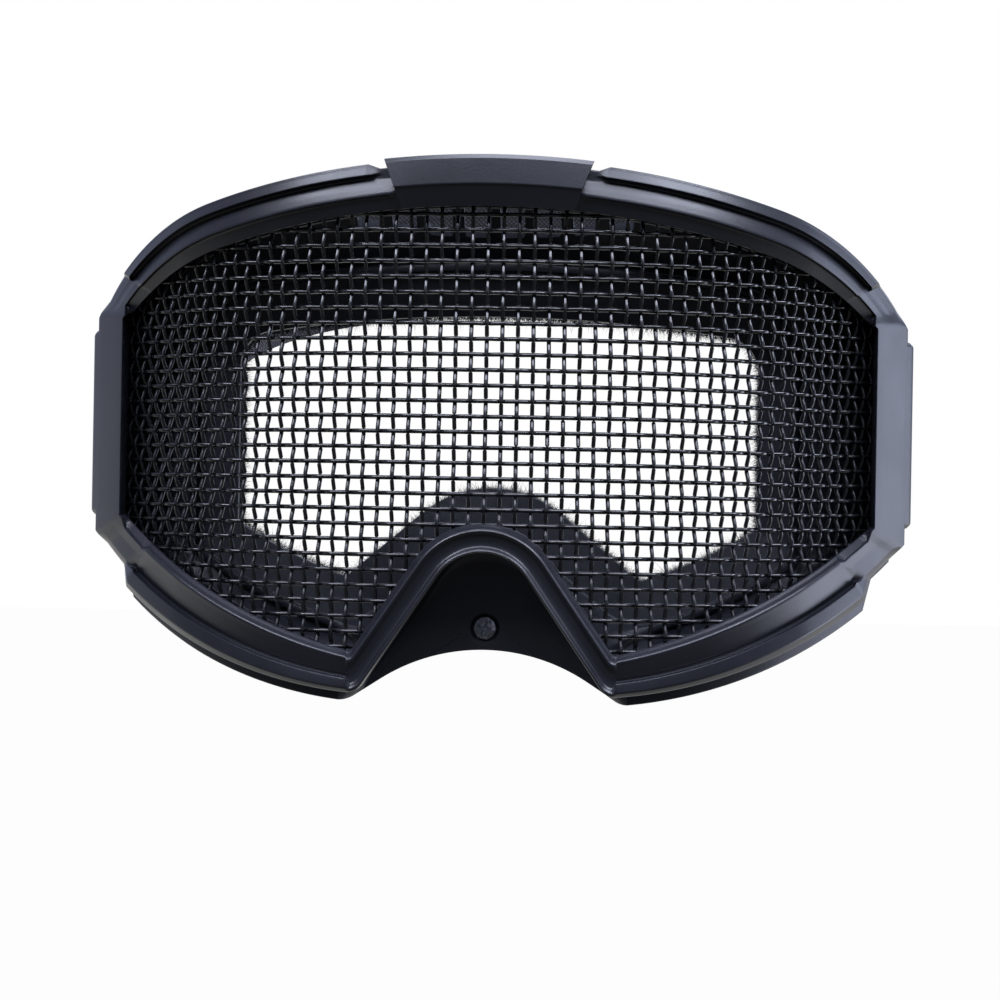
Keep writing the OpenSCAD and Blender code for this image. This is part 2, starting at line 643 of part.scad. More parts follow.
module hood() {
    color(black_plastic) placed() difference() {
        ring_skin(hood_rows);
        for (i = [0:vents - 1]) {
            translate([(i - vents / 2 + 0.5) * vent_pitch - vent_w / 2, vent_y, port_top + vent_w])
                cube([vent_w, vent_l, open_top + brow_band - port_top]);
        }
        for (side = [-1, 1], i = [0:vents / 2 - 1]) {
            x = cheek_vent_x + i * vent_pitch;
            translate([side * x - vent_w / 2, lens_y(x) + 9.5, -62]) cube([vent_w, vent_l - 2, 34]);
        }
        for (side = [-1, 1], at = rim_screw_at) {
            lens_rod([side * at.x, at.y], 0, 8, rim_screw_d + 0.2);
            lens_rod([side * at.x, at.y], rim_seat, 8, rim_head_d + 0.3);
        }
        along_y(0, nose_screw_z, web_y - 1, web_y + web_t + 1, nose_screw_d + 0.2);
        along_y(0, nose_screw_z, web_y - 1, web_y + nose_head_t + 0.1, nose_head_d + 0.4);
    }
}

// Face frame: a flange for the foam, a lip inside the hood's walls, and an apron under the web
lip_out = loop(PORT, foam_w - hood_wall - seat_gap);
lip_in = loop(PORT, foam_w - hood_wall - seat_gap - 1.6);
flange_front_r = flange_r + flange_t;
lip_r = flange_front_r + 2.4;
pad_y = web_y + web_t + seat_gap;
pad_t = 2.2;
// The pad's reach under the web, station by station from the cheek to the middle of the nose
pad_parts = [0.5, 0.5, 0.5, 0.62, 0.78, 0.88];
pad_reach = [for (k = [0:loop_n - 1])
    let (j = half_index(k) - cheek_last - 1)
    j < 0 ? 0.5 : j < len(pad_parts) ? pad_parts[j] : 0.94];
pad_low = between(rim_line, web_line, pad_reach);
pad_top = between(rim_line, web_line, pad_reach * 0.5);
frame_port = on_face(port_line, flange_front_r);
apron_start = on_face(lip_in, flange_front_r);
apron_end = at_depth(pad_top, pad_y);
// The apron turns forward a little later than the web, so that it clears the walls' ends
apron_share = [for (t = nose_share) pow(t, 1.7)];
function to_apron(a, b) = blend_to(a, b, apron_share);
frame_rows = [
    frame_port,
    apron_start,
    to_apron(on_face(lip_in, lip_r), part_way(apron_start, apron_end, 0.35, 0.35)),
    to_apron(on_face(lip_out, lip_r), part_way(apron_start, apron_end, 0.7, 0.7)),
    to_apron(on_face(lip_out, flange_front_r), apron_end),
    to_apron(on_face(rear_line, flange_front_r), at_depth(pad_low, pad_y)),
    to_apron(on_face(rear_line, flange_front_r - flange_t / 3), at_depth(pad_low, pad_y + pad_t)),
    to_apron(on_face(rear_line, flange_front_r - flange_t / 1.5),
        at_depth(between(rim_line, web_line, pad_reach * 0.62), pad_y + pad_t)),
    on_face(rear_line, flange_r),
    on_face(port_line, flange_r)
];
boss_l = 8;
module face_frame() {
    color(black_plastic) placed() difference() {
        union() {
            ring_skin(frame_rows);
            along_y(0, nose_screw_z, pad_y + 0.2, pad_y + boss_l, 6.4);
        }
        along_y(0, nose_screw_z, pad_y - 1, pad_y + boss_l + 1, nose_screw_d + 0.1);
    }
}

// Foam pad with a crowned face, and the fleece that covers the crown
foam_face_r = face_r + fleece_t + 0.1;
foam_rows = [
    on_face(port_line, face_r + foam_t),
    on_face(rear_line, face_r + foam_t),
    on_face(loop(PORT, foam_w - 0.4), face_r + foam_t / 2),
    on_face(loop(PORT, foam_w - 1.6), foam_face_r + 1.2),
    on_face(loop(PORT, foam_w - 4.5), foam_face_r),
    on_face(loop(PORT, 4.5), foam_face_r),
    on_face(loop(PORT, 1.6), foam_face_r + 1.2),
    on_face(loop(PORT, 0.4), face_r + foam_t / 2)
];
module face_foam() {
    color(black_foam) placed() ring_skin(foam_rows);
}
fleece_rows = [
    on_face(loop(PORT, 0.9), face_r + 1.6),
    on_face(loop(PORT, 4.5), face_r + fleece_t),
    on_face(loop(PORT, foam_w - 4.5), face_r + fleece_t),
    on_face(loop(PORT, foam_w - 0.9), face_r + 1.6),
    on_face(loop(PORT, foam_w - 4.2), face_r),
    on_face(loop(PORT, 4.2), face_r)
];
module foam_fleece() {
    color(black_fleece) placed() ring_skin(fleece_rows);
}

module nose_screw() {
    color(zinc) placed() difference() {
        union() {
            along_y(0, nose_screw_z, web_y + 0.05, web_y + 0.05 + nose_head_t, nose_head_d);
            along_y(0, nose_screw_z, web_y + 0.5, pad_y + boss_l - 0.5, nose_screw_d);
        }
        for (a = [0, 90]) {
            translate([0, web_y + 0.6, nose_screw_z]) rotate([0, a, 0])
                cube([3.2, 1.2, 0.7], center = true);
        }
    }
}

module rim_screws() {
    color(zinc) placed() for (side = [-1, 1], at = rim_screw_at) {
        lens_rod([side * at.x, at.y], rim_seat + 0.05, rim_seat + 0.05 + rim_head_t, rim_head_d);
        lens_rod([side * at.x, at.y], -1.5, rim_seat + 0.5, rim_screw_d);
    }
}

// Temple hardware, from the plate inwards: washer, clip and nut, all on the screw
washer_t = 0.4;
washer_in = plate_in - 0.2 - washer_t;
clip_in = washer_in - 0.2 - clip_t;
nut_t = 2.9;
nut_in = clip_in - seat_gap - nut_t;
clip_x = clip_in + clip_t / 2;
module temple_screw(side) {
    color(zinc) placed() on_side(side) difference() {
        union() {
            along_x(nut_in - 0.3, overall_w / 2 - 0.6, pivot_y, plate_z, pivot_d);
            along_x(overall_w / 2 - screw_head_t, overall_w / 2, pivot_y, plate_z, screw_head_d);
        }
        translate([overall_w / 2, pivot_y, plate_z]) rotate([35, 0, 0])
            cube([1.6, screw_head_d - 2, 1.1], center = true);
    }
}
module temple_washer(side) {
    color(zinc) placed() on_side(side) difference() {
        along_x(washer_in, washer_in + washer_t, pivot_y, plate_z, pivot_d + 5);
        along_x(washer_in - 1, washer_in + washer_t + 1, pivot_y, plate_z, pivot_d + 0.3);
    }
}
module temple_nut(side) {
    color(zinc) placed() on_side(side) difference() {
        translate([nut_in, pivot_y, plate_z]) rotate([0, 90, 0])
            cylinder(d = 9.2, h = nut_t, $fn = 6);
        along_x(nut_in - 1, nut_in + nut_t + 1, pivot_y, plate_z, pivot_d + 0.1);
    }
}

// The strap and its clips turn together on the temple screws
module tilted() {
    placed() translate([0, pivot_y, plate_z]) rotate([strap_tilt, 0, 0]) children();
}
clip_hub_r = 8;
clip_half_h = strap_w / 2 + 3.5;
clip_rail = 2.7;
clip_slot_y = 11;
module strap_clip(side) {
    color(black_plastic) tilted() on_side(side) union() {
        difference() {
            union() {
                translate([clip_in, 0, 0]) rotate([90, 0, 90]) linear_extrude(clip_t) polygon([
                    [-2, -7], [12, -clip_half_h], [clip_l + bar_d / 2, -clip_half_h],
                    [clip_l + bar_d / 2, clip_half_h], [12, clip_half_h], [-2, 7]
                ]);
                along_x(clip_in, clip_in + clip_t, 0, 0, 2 * clip_hub_r);
            }
            along_x(clip_in - 1, clip_in + clip_t + 1, 0, 0, pivot_d + 2 * pivot_gap);
            translate([clip_in - 1, clip_slot_y, clip_rail - clip_half_h])
                cube([clip_t + 2, 20, 2 * (clip_half_h - clip_rail)]);
        }
        translate([clip_x, clip_l, -clip_half_h + 0.5]) cylinder(d = bar_d, h = 2 * clip_half_h - 1);
    }
}

// Plan of the strap: back arc, turn, straight side, wrap round the clip's bar and folded end
bar_at = [clip_x, clip_l];
wrap_r = bar_d / 2 + seat_gap + strap_t / 2;
fold_gap = strap_t + seat_gap;
turn_x = 22;
back_c = [0, strap_back_l - strap_back_r];
turn_c = [turn_x, back_c.y + sqrt(pow(strap_back_r - strap_turn_r, 2) - turn_x * turn_x)];
turn_a0 = atan2(turn_x, turn_c.y - back_c.y);
to_turn = turn_c - bar_at;
strap_a = atan2(to_turn.y, to_turn.x) - acos(-(wrap_r + strap_turn_r) / norm(to_turn));
along_u = [cos(strap_a), sin(strap_a)];
along_v = [-sin(strap_a), cos(strap_a)];
function by_bar(u, v) = bar_at + along_u * u + along_v * v;
strap_half = concat(
    [for (i = [0:6]) polar(back_c, strap_back_r, turn_a0 * i / 6)],
    [for (i = [1:12]) polar(turn_c, strap_turn_r, turn_a0 + (90 - strap_a - turn_a0) * i / 12)],
    [for (i = [0:10]) by_bar(-wrap_r * cos(18 * i), -wrap_r * sin(18 * i))],
    [by_bar(fold_gap - wrap_r, 16), by_bar(fold_gap - wrap_r, tail_l)]
);
strap_path = concat(
    [for (i = [len(strap_half) - 1:-1:1]) [-strap_half[i].x, strap_half[i].y]],
    strap_half
);
function unit(v) = v / norm(v);
function left_of(v) = [-v.y, v.x];
function path_side(path, off) =
    let (last = len(path) - 1)
    [for (i = [0:last])
        let (
            n0 = left_of(unit(path[max(i, 1)] - path[max(i, 1) - 1])),
            n1 = left_of(unit(path[min(i, last - 1) + 1] - path[min(i, last - 1)]))
        )
        path[i] + off * (n0 + n1) / (1 + n0 * n1)];
module elastic_strap() {
    color(black_elastic) tilted() translate([0, 0, -strap_w / 2]) linear_extrude(strap_w) polygon(concat(
        path_side(strap_path, strap_t / 2),
        [for (i = [len(strap_path) - 1:-1:0]) path_side(strap_path, -strap_t / 2)[i]]
    ));
}

// Slider: two bars outside the strap, one inside it, and rails past its edges
slider_out = fold_gap - wrap_r + strap_t / 2 + seat_gap;
slider_in = -wrap_r - strap_t / 2 - seat_gap;
slider_bar = 2;
module slider_box(u0, u1, v0, v1, z0, z1) {
    translate([u0, v0, z0]) cube([u1 - u0, v1 - v0, z1 - z0]);
}
module strap_slider(side) {
    z0 = strap_w / 2 + 0.5;
    z1 = z0 + 3;
    u0 = slider_in - slider_bar;
    u1 = slider_out + slider_bar;
    v1 = slider_l / 2;
    color(black_plastic) tilted() on_side(side) translate([bar_at.x, bar_at.y, 0])
        rotate([0, 0, strap_a]) translate([0, slider_at, 0]) union() {
            slider_box(u0, u1, -v1, v1, z0, z1);
            slider_box(u0, u1, -v1, v1, -z1, -z0);
            slider_box(slider_out, u1, -v1, -v1 + 3, -z0 - 1, z0 + 1);
            slider_box(slider_out, u1, v1 - 3, v1, -z0 - 1, z0 + 1);
            slider_box(u0, slider_in, -1.5, 1.5, -z0 - 1, z0 + 1);
        }
}

module temple_screw_left() {
    temple_screw(-1);
}
module temple_screw_right() {
    temple_screw(1);
}
module temple_washer_left() {
    temple_washer(-1);
}
module temple_washer_right() {
    temple_washer(1);
}
module temple_nut_left() {
    temple_nut(-1);
}
module temple_nut_right() {
    temple_nut(1);
}
module strap_clip_left() {
    strap_clip(-1);
}
module strap_clip_right() {
    strap_clip(1);
}
module strap_slider_left() {
    strap_slider(-1);
}
module strap_slider_right() {
    strap_slider(1);
}

front_bezel();
brow_block();
mesh_warp_wires();
mesh_weft_wires();
mesh_edge_band();
hood();
face_frame();
face_foam();
foam_fleece();
nose_screw();
rim_screws();
temple_screw_left();
temple_screw_right();
temple_washer_left();
temple_washer_right();
temple_nut_left();
temple_nut_right();
strap_clip_left();
strap_clip_right();
elastic_strap();
strap_slider_left();
strap_slider_right();
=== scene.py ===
import math
from collections import namedtuple

import bpy
import numpy as np
from mathutils import Matrix, Vector


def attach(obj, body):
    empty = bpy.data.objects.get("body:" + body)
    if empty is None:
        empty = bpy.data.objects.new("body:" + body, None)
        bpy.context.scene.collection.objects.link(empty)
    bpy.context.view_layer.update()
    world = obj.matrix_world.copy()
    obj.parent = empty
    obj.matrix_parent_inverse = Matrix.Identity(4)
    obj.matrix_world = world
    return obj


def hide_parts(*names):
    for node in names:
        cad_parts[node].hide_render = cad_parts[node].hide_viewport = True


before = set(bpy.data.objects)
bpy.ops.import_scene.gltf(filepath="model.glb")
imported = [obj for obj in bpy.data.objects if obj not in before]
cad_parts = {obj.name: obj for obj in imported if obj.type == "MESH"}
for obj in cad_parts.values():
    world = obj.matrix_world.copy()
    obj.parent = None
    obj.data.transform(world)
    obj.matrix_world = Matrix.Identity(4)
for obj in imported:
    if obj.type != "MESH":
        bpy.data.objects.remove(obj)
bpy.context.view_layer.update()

rng = np.random.default_rng(7)

# Sizes in millimetres, the same as in the part's source
WIRE_D = 0.85
PITCH = 3.33
WIRE_TUCK = 2.4
OPEN_TOP = 48.2
BROW_BAND = 10.2
BROW_R = 220.0
STRIP_H = 5.2
BAND_H = 4.3
GROOVE_D = 1.1
LIP_H = 2.8
OVERALL_W = 189.0
PLATE_PROUD = 1.5
PLATE_H = 42.6
PLATE_Z = 1.9
PLATE_T = 4.4
SEAT_Y = 46.0
FACE_R = 110.0
FOAM_T = 12.0
FOAM_W = 14.0
FLEECE_T = 1.0
FLANGE_T = 2.2
HOOD_WALL = 2.0
SEAT_GAP = 0.3
BLOCK_TOP_W = 44.4
BLOCK_LOW_W = 36.8
BLOCK_H = 6.6
STRAP_W = 38.0
STRAP_T = 1.5
STRAP_TILT = 21.0

WEAVE_G = WIRE_D + 0.1
WEAVE_RISE = WEAVE_G * PITCH / math.sqrt(PITCH ** 2 - 4 * WEAVE_G ** 2)
WEAVE_H = WEAVE_RISE + WIRE_D / 2 / math.cos(math.atan(2 * WEAVE_RISE / PITCH))
CLAMP_H = WEAVE_H + 0.4

# Plan of the lens: three arcs that meet at a common tangent, on each side of the middle
MID_R, TURN_R, SIDE_R = 140.0, 80.0, 190.0
MID_A, TURN_A = math.radians(8), math.radians(50)
MID_X = MID_R * math.sin(MID_A)
TURN_C = ((MID_R - TURN_R) * math.sin(MID_A), MID_R - (MID_R - TURN_R) * math.cos(MID_A))
TURN_X = TURN_C[0] + TURN_R * math.sin(TURN_A)
SIDE_C = (TURN_C[0] + (TURN_R - SIDE_R) * math.sin(TURN_A),
          TURN_C[1] - (TURN_R - SIDE_R) * math.cos(TURN_A))
MID_S = MID_R * MID_A
TURN_S = MID_S + TURN_R * (TURN_A - MID_A)


def by_arc(a, mid_end, turn_end, mid, turn, side):
    """The middle, turning or side arc's value, by how far out a lies."""
    return np.where(a < mid_end, mid, np.where(a < turn_end, turn, side))[()]


def lens_slope(x):
    a = np.abs(np.asarray(x, float))
    sine = by_arc(a, MID_X, TURN_X, a / MID_R, (a - TURN_C[0]) / TURN_R, (a - SIDE_C[0]) / SIDE_R)
    return np.arcsin(np.clip(sine, -1, 1))


def lens_y(x):
    a, t = np.abs(np.asarray(x, float)), lens_slope(x)
    return by_arc(a, MID_X, TURN_X, MID_R * (1 - np.cos(t)), TURN_C[1] - TURN_R * np.cos(t),
                  SIDE_C[1] - SIDE_R * np.cos(t))


def lens_at(s, off=0.0):
    """A point in plan at a length s along the lens, off in front of it."""
    a = np.abs(np.asarray(s, float))
    t = by_arc(a, MID_S, TURN_S, a / MID_R, MID_A + (a - MID_S) / TURN_R,
               TURN_A + (a - TURN_S) / SIDE_R)
    cx = by_arc(a, MID_S, TURN_S, 0, TURN_C[0], SIDE_C[0])
    cy = by_arc(a, MID_S, TURN_S, MID_R, TURN_C[1], SIDE_C[1])
    r = by_arc(a, MID_S, TURN_S, MID_R, TURN_R, SIDE_R) + off
    return np.sign(s) * (cx + r * np.sin(t)), cy - r * np.cos(t)


# Outlines in front view, each a closed loop of arcs that share their stations
Outline = namedtuple("Outline", "top brow_r brow_a half_w cheek_c cheek_r nose_z nose_r nose_a "
                                "corner_r shoulder_a")
BROW_A = 15.9
RIM_HALF_W = OVERALL_W / 2 - PLATE_PROUD
OPEN_HALF_W = RIM_HALF_W - 8.2
RIM_CHEEK = (21.4, 46.5)
RIM_LOW_R = 99.8
CHEEK_STRIP = 3.2
NOSE_Z, NOSE_R, NOSE_A = -37.1, 17.5, 55.6
OPEN = Outline(OPEN_TOP, BROW_R, BROW_A, OPEN_HALF_W, (0, 79.0), 129.6, NOSE_Z, NOSE_R, NOSE_A,
               1.5, 45)
EDGE = Outline(OPEN_TOP + BROW_BAND, BROW_R + BROW_BAND, BROW_A, RIM_HALF_W, RIM_CHEEK, RIM_LOW_R,
               NOSE_Z, NOSE_R - 6.2, NOSE_A, 4, 60.6)
RIM = EDGE._replace(cheek_r=RIM_LOW_R + CHEEK_STRIP)
WEB = EDGE._replace(cheek_r=RIM_LOW_R + CHEEK_STRIP + 2.2, nose_z=-88.6, nose_r=41.5, nose_a=33,
                    corner_r=5)
PORT = Outline(26.4, 400, 7.5, 59, (0, 74.7), 111.8, -35.8, 24, 40, 2, 88)

# Stations along one half, as shares of each arc or straight, the same as in the part's source
BROW_PARTS = [0, 0.13, 0.26, 0.355, 0.42, 0.52, 0.64, 0.76, 0.88, 1]
SHOULDER_PARTS = [0.14, 0.28, 0.42, 0.56, 0.68, 0.71, 0.85, 1]
SIDE_PARTS = [0.25, 0.5, 0.75, 1]
CHEEK_PARTS = [0.07, 0.15, 0.175, 0.3, 0.42, 0.54, 0.66, 0.78, 0.9, 1]
CORNER_PARTS = [0.33, 0.67, 1]
NOSE_PARTS = [0.2, 0.4, 0.6, 0.8, 1]
FINE = 5
HALF_N = 43


def polar(c, r, a):
    """The point at a radius r from c, in the direction a degrees from the second axis."""
    return np.array([c[0] + r * math.sin(math.radians(a)), c[1] + r * math.cos(math.radians(a))])


def finer(parts):
    """The shares in parts, with every step from 0 on divided again."""
    first, out = 0.0, []
    for b in parts:
        out += [first + (b - first) * (i + 1) / FINE for i in range(FINE)]
        first = b
    return out


def half_loop(p, o=0.0):
    """One half of an outline, o outside it, from the brow's middle to the nose's."""
    def arc(c, r, a0, a1, parts):
        return [polar(c, r, a0 + (a1 - a0) * f) for f in finer(parts)]

    def straight(a, b, parts):
        return [a + (b - a) * f for f in finer(parts)]

    def sin(a):
        return math.sin(math.radians(a))

    top_c = (0, p.top - p.brow_r)
    shoulder_r = (p.half_w - p.brow_r * sin(p.brow_a)) / (sin(p.shoulder_a) - sin(p.brow_a))
    shoulder_c = polar(top_c, p.brow_r - shoulder_r, p.brow_a)
    shoulder_end = math.degrees(math.asin((p.half_w + o - shoulder_c[0]) / (shoulder_r + o)))
    side_top = polar(shoulder_c, shoulder_r + o, shoulder_end)
    cheek_end = 180 - math.degrees(math.asin((p.half_w + o - p.cheek_c[0]) / (p.cheek_r + o)))
    side_low = polar(p.cheek_c, p.cheek_r + o, cheek_end)
    nose_c = (0, p.nose_z)
    start = polar(nose_c, p.nose_r + p.corner_r, p.nose_a)
    d = np.array([math.cos(math.radians(p.nose_a)), -sin(p.nose_a)])
    q = start - np.array(p.cheek_c)
    b = q @ d
    corner_c = start + d * (-b + math.sqrt(b * b - q @ q + (p.cheek_r - p.corner_r) ** 2))
    cheek_start = math.degrees(math.atan2(corner_c[0] - p.cheek_c[0], corner_c[1] - p.cheek_c[1]))
    corner_end = polar(corner_c, p.corner_r + o, 180 + p.nose_a)
    leg_top = polar(nose_c, p.nose_r - o, p.nose_a)
    points = [polar(top_c, p.brow_r + o, 0)]
    points += arc(top_c, p.brow_r + o, 0, p.brow_a, BROW_PARTS[1:])
    points += arc(shoulder_c, shoulder_r + o, p.brow_a, shoulder_end, SHOULDER_PARTS)
    points += straight(side_top, side_low, SIDE_PARTS)
    points += arc(p.cheek_c, p.cheek_r + o, cheek_end, cheek_start, CHEEK_PARTS)
    points += arc(corner_c, p.corner_r + o, cheek_start, 180 + p.nose_a, CORNER_PARTS)
    points += straight(corner_end, leg_top, CORNER_PARTS)
    points += arc(nose_c, p.nose_r - o, p.nose_a, 0, NOSE_PARTS)
    return np.array(points)


def loop(p, o=0.0):
    h = half_loop(p, o)
    return np.vstack([h, h[-2:0:-1] * [-1, 1]])


# The last station under the brow block, in the gap, along the brow strip, and so on
BLOCK_LAST = 2
GAP_LAST = 3
BROW_LAST = 14
SHOULDER_LAST = 16
SIDE_LAST = 21
CHEEK_STRIP_FIRST = 24
CHEEK_LAST = 31
BLOCK, BROW, SHOULDER, BELOW_SIDE, CHEEK, NOSE, SIDE, GAP = range(8)


def spread(values, ease=False):
    """Values at the source's stations of one half, carried over to every station of the loop."""
    values = np.asarray(list(values), float)
    half = []
    for j in range(HALF_N - 1):
        for i in range(FINE):
            f = i / FINE
            f = min(max(1.7 * f - 0.35, 0), 1) if ease else f
            half.append(values[j] + (values[j + 1] - values[j]) * f)
    half.append(values[-1])
    half = np.array(half)
    return np.concatenate([half, half[-2:0:-1]])


def zone(j):
    """The zone that one of the source's stations lies in."""
    for last, name in ((BLOCK_LAST, BLOCK), (GAP_LAST, GAP), (BROW_LAST, BROW),
                       (SHOULDER_LAST, SHOULDER), (SIDE_LAST, SIDE),
                       (CHEEK_STRIP_FIRST - 1, BELOW_SIDE), (CHEEK_LAST, CHEEK)):
        if j <= last:
            return name
    return NOSE


def by_zone(values):
    """Eight values, in the zones' order, or one for all, spread over the loop."""
    if not isinstance(values, list):
        values = [values] * 8
    return spread([values[zone(j)] for j in range(HALF_N)], ease=True)


def mixed(a, b, t):
    """Between a and b, by one share for all points or one for each."""
    t = np.asarray(t, float)
    return a + (b - a) * (t[:, None] if t.ndim else t)


def over_lens(line, h):
    """A front-view line laid at a height h above the lens."""
    x = line[:, 0]
    return np.column_stack([x, lens_y(x) - h / np.cos(lens_slope(x)), line[:, 1]])


FACE_C = SEAT_Y + FACE_R


def on_face(line, r):
    """A front-view line laid on the cylinder of radius r about the face's centre."""
    x = line[:, 0]
    return np.column_stack([x, FACE_C - np.sqrt(r * r - x * x), line[:, 1]])


def at_depth(line, y):
    return np.column_stack([line[:, 0], np.full(len(line), float(y)), line[:, 1]])


open_line = loop(OPEN)
web_line = loop(WEB)
on_strip = spread([1 if j >= CHEEK_STRIP_FIRST else 0 for j in range(HALF_N)])
rim_line = mixed(loop(EDGE), loop(RIM), on_strip)
port_line = loop(PORT)
rear_line = loop(PORT, FOAM_W)
hood_low_line = mixed(loop(EDGE, 0.9), web_line, on_strip)
body_parts = [0.95] * (BROW_LAST + 1) + [0.82, 0.66] + [0.5] * (HALF_N - 1 - SHOULDER_LAST)
below_side = spread([1 if j > SIDE_LAST else 0 for j in range(HALF_N)])
body_line = mixed(mixed(open_line, rim_line, spread(body_parts)), hood_low_line, below_side)
nose_steps = [0.25, 0.55, 0.8, 1]
nose_share = spread([0 if j <= CHEEK_LAST else nose_steps[min(j - CHEEK_LAST - 1, 3)]
                     for j in range(HALF_N)])


def toward_nose(a, b):
    """Line a, which changes to line b beside the nose."""
    return mixed(a, b, nose_share)


# Working with Blender's objects
def deselect():
    if bpy.context.mode != "OBJECT":
        bpy.ops.object.mode_set(mode="OBJECT")
    bpy.ops.object.select_all(action="DESELECT")


def pick(piece):
    deselect()
    piece.select_set(True)
    bpy.context.view_layer.objects.active = piece


def apply_modifier(piece, kind, **settings):
    pick(piece)
    modifier = piece.modifiers.new(kind.lower(), kind)
    for name, value in settings.items():
        setattr(modifier, name, value)
    bpy.ops.object.modifier_apply(modifier=modifier.name)


def rounded_edges(piece, width, segments=2, angle=35):
    apply_modifier(piece, "BEVEL", width=width / 1000, segments=segments,
                   limit_method="ANGLE", angle_limit=math.radians(angle))


def edit_all(piece, action="SELECT"):
    pick(piece)
    bpy.ops.object.mode_set(mode="EDIT")
    bpy.ops.mesh.select_all(action=action)


def outward(piece):
    edit_all(piece)
    bpy.ops.mesh.remove_doubles(threshold=1e-6)
    bpy.ops.mesh.normals_make_consistent(inside=False)
    bpy.ops.object.mode_set(mode="OBJECT")


def smooth(piece, angle=35):
    pick(piece)
    bpy.ops.object.shade_smooth_by_angle(angle=math.radians(angle))


def crisp(piece):
    """Smooth shading that leaves the flat faces flat beside their rounded edges."""
    smooth(piece)
    apply_modifier(piece, "WEIGHTED_NORMAL", keep_sharp=True, weight=60)


def cut(piece, *cutters, operation="DIFFERENCE"):
    """Takes other pieces out of one, or unites them with it, and removes them."""
    for cutter in cutters:
        apply_modifier(piece, "BOOLEAN", operation=operation, object=cutter, solver="EXACT")
        bpy.data.objects.remove(cutter)


def joined(piece, *others):
    pick(piece)
    for other in others:
        other.select_set(True)
    bpy.ops.object.join()
    return piece


def named(name):
    piece = bpy.context.active_object
    piece.name = name
    piece.data.name = name
    return piece


def rod(name, lo, hi, d, sides=48):
    """A round bar between two points in millimetres, which differ along one axis."""
    lo, hi = Vector(lo) / 1000, Vector(hi) / 1000
    deselect()
    axis = hi - lo
    bpy.ops.mesh.primitive_cylinder_add(
        vertices=sides, radius=d / 2000, depth=axis.length, location=(lo + hi) / 2,
        rotation=axis.to_track_quat("Z", "Y").to_euler())
    bpy.ops.object.transform_apply(location=True, rotation=True, scale=True)
    return named(name)


def bar(name, lo, hi):
    """A square bar between two corners in millimetres."""
    lo, hi = Vector(lo) / 1000, Vector(hi) / 1000
    deselect()
    bpy.ops.mesh.primitive_cube_add(size=1, location=(lo + hi) / 2, scale=hi - lo)
    bpy.ops.object.transform_apply(location=True, rotation=True, scale=True)
    return named(name)


def blank(name, outline, x0, x1):
    """A flat blank with an outline in Y and Z, from x0 to x1, in millimetres."""
    deselect()
    bpy.ops.mesh.primitive_circle_add(vertices=len(outline), radius=0.01, fill_type="NGON")
    piece = named(name)
    for vertex, (y, z) in zip(piece.data.vertices, outline):
        vertex.co = (x0 / 1000, y / 1000, z / 1000)
    edit_all(piece)
    bpy.ops.mesh.extrude_region_move(TRANSFORM_OT_translate={"value": ((x1 - x0) / 1000, 0, 0)})
    bpy.ops.object.mode_set(mode="OBJECT")
    outward(piece)
    return piece


def mesh_of(name, points, faces):
    """A mesh from points in millimetres, measured from the lens's foremost point."""
    mesh = bpy.data.meshes.new(name)
    points = (np.asarray(points, float) - [0, SEAT_Y, 0]) / 1000
    mesh.from_pydata([tuple(p) for p in points], [], faces)
    piece = bpy.data.objects.new(name, mesh)
    bpy.context.scene.collection.objects.link(piece)
    return piece


def filleted(rows, r, steps=3):
    """Rows of a closed section with every corner rounded to radius r where there is room."""
    rows = np.array(rows)
    before, after = np.roll(rows, 1, 0), np.roll(rows, -1, 0)
    to_a, to_b = before - rows, after - rows
    la = np.linalg.norm(to_a, axis=2, keepdims=True) + 1e-9
    lb = np.linalg.norm(to_b, axis=2, keepdims=True) + 1e-9
    reach = np.minimum(r, 0.45 * np.minimum(la, lb))
    start, end = rows + to_a / la * reach, rows + to_b / lb * reach
    out = []
    for i in range(len(rows)):
        for k in range(steps):
            f = k / (steps - 1)
            out.append((1 - f) ** 2 * start[i] + 2 * f * (1 - f) * rows[i] + f * f * end[i])
    return np.array(out)


def bands(rows, n, around=False):
    """Faces between neighbouring rows of n points, and from the last row to the first if around."""
    return [[i * n + k, i * n + (k + 1) % n, (i + 1) % rows * n + (k + 1) % n,
             (i + 1) % rows * n + k] for i in range(rows if around else rows - 1)
            for k in range(n)]


def ring(name, rows):
    """A closed ring through closed loops of points, the last joined to the first."""
    faces = bands(rows.shape[0], rows.shape[1], around=True)
    piece = mesh_of(name, rows.reshape(-1, 3), faces)
    outward(piece)
    return piece


def rotation(angle, axis):
    return Matrix.Rotation(math.radians(angle), 4, axis)


def to_frame(piece, move=(0, 0, 0), turn=None):
    """Moves a finished mesh by millimetres, after a turn."""
    piece.data.transform(Matrix.Translation(Vector(move) / 1000) @ (turn or Matrix.Identity(4)))
    return piece


def turned(piece, centre, angle, axis):
    """Turns a mesh by degrees about an axis through a point in millimetres."""
    centre = Vector(centre) / 1000
    piece.data.transform(Matrix.Translation(centre) @ rotation(angle, axis)
                         @ Matrix.Translation(-centre))
    return piece


PLACED = (0, -SEAT_Y, 0)


def copied(piece, name):
    """A copy with its own mesh."""
    other = piece.copy()
    other.data = piece.data.copy()
    other.name = name
    bpy.context.scene.collection.objects.link(other)
    return other


def mirrored(piece, name):
    """A copy on the other side of the middle."""
    other = copied(piece, name)
    other.data.transform(Matrix.Scale(-1, 4, (1, 0, 0)))
    other.data.flip_normals()
    return other


# Materials. A noise's scale counts its grains to the metre: 2600 is a grain of 0.4 mm
def linear(hex_colour):
    """An sRGB hex colour as the linear values that a socket takes."""
    out = []
    for i in (1, 3, 5):
        c = int(hex_colour[i:i + 2], 16) / 255
        out.append(c / 12.92 if c <= 0.04045 else ((c + 0.055) / 1.055) ** 2.4)
    return (*out, 1.0)


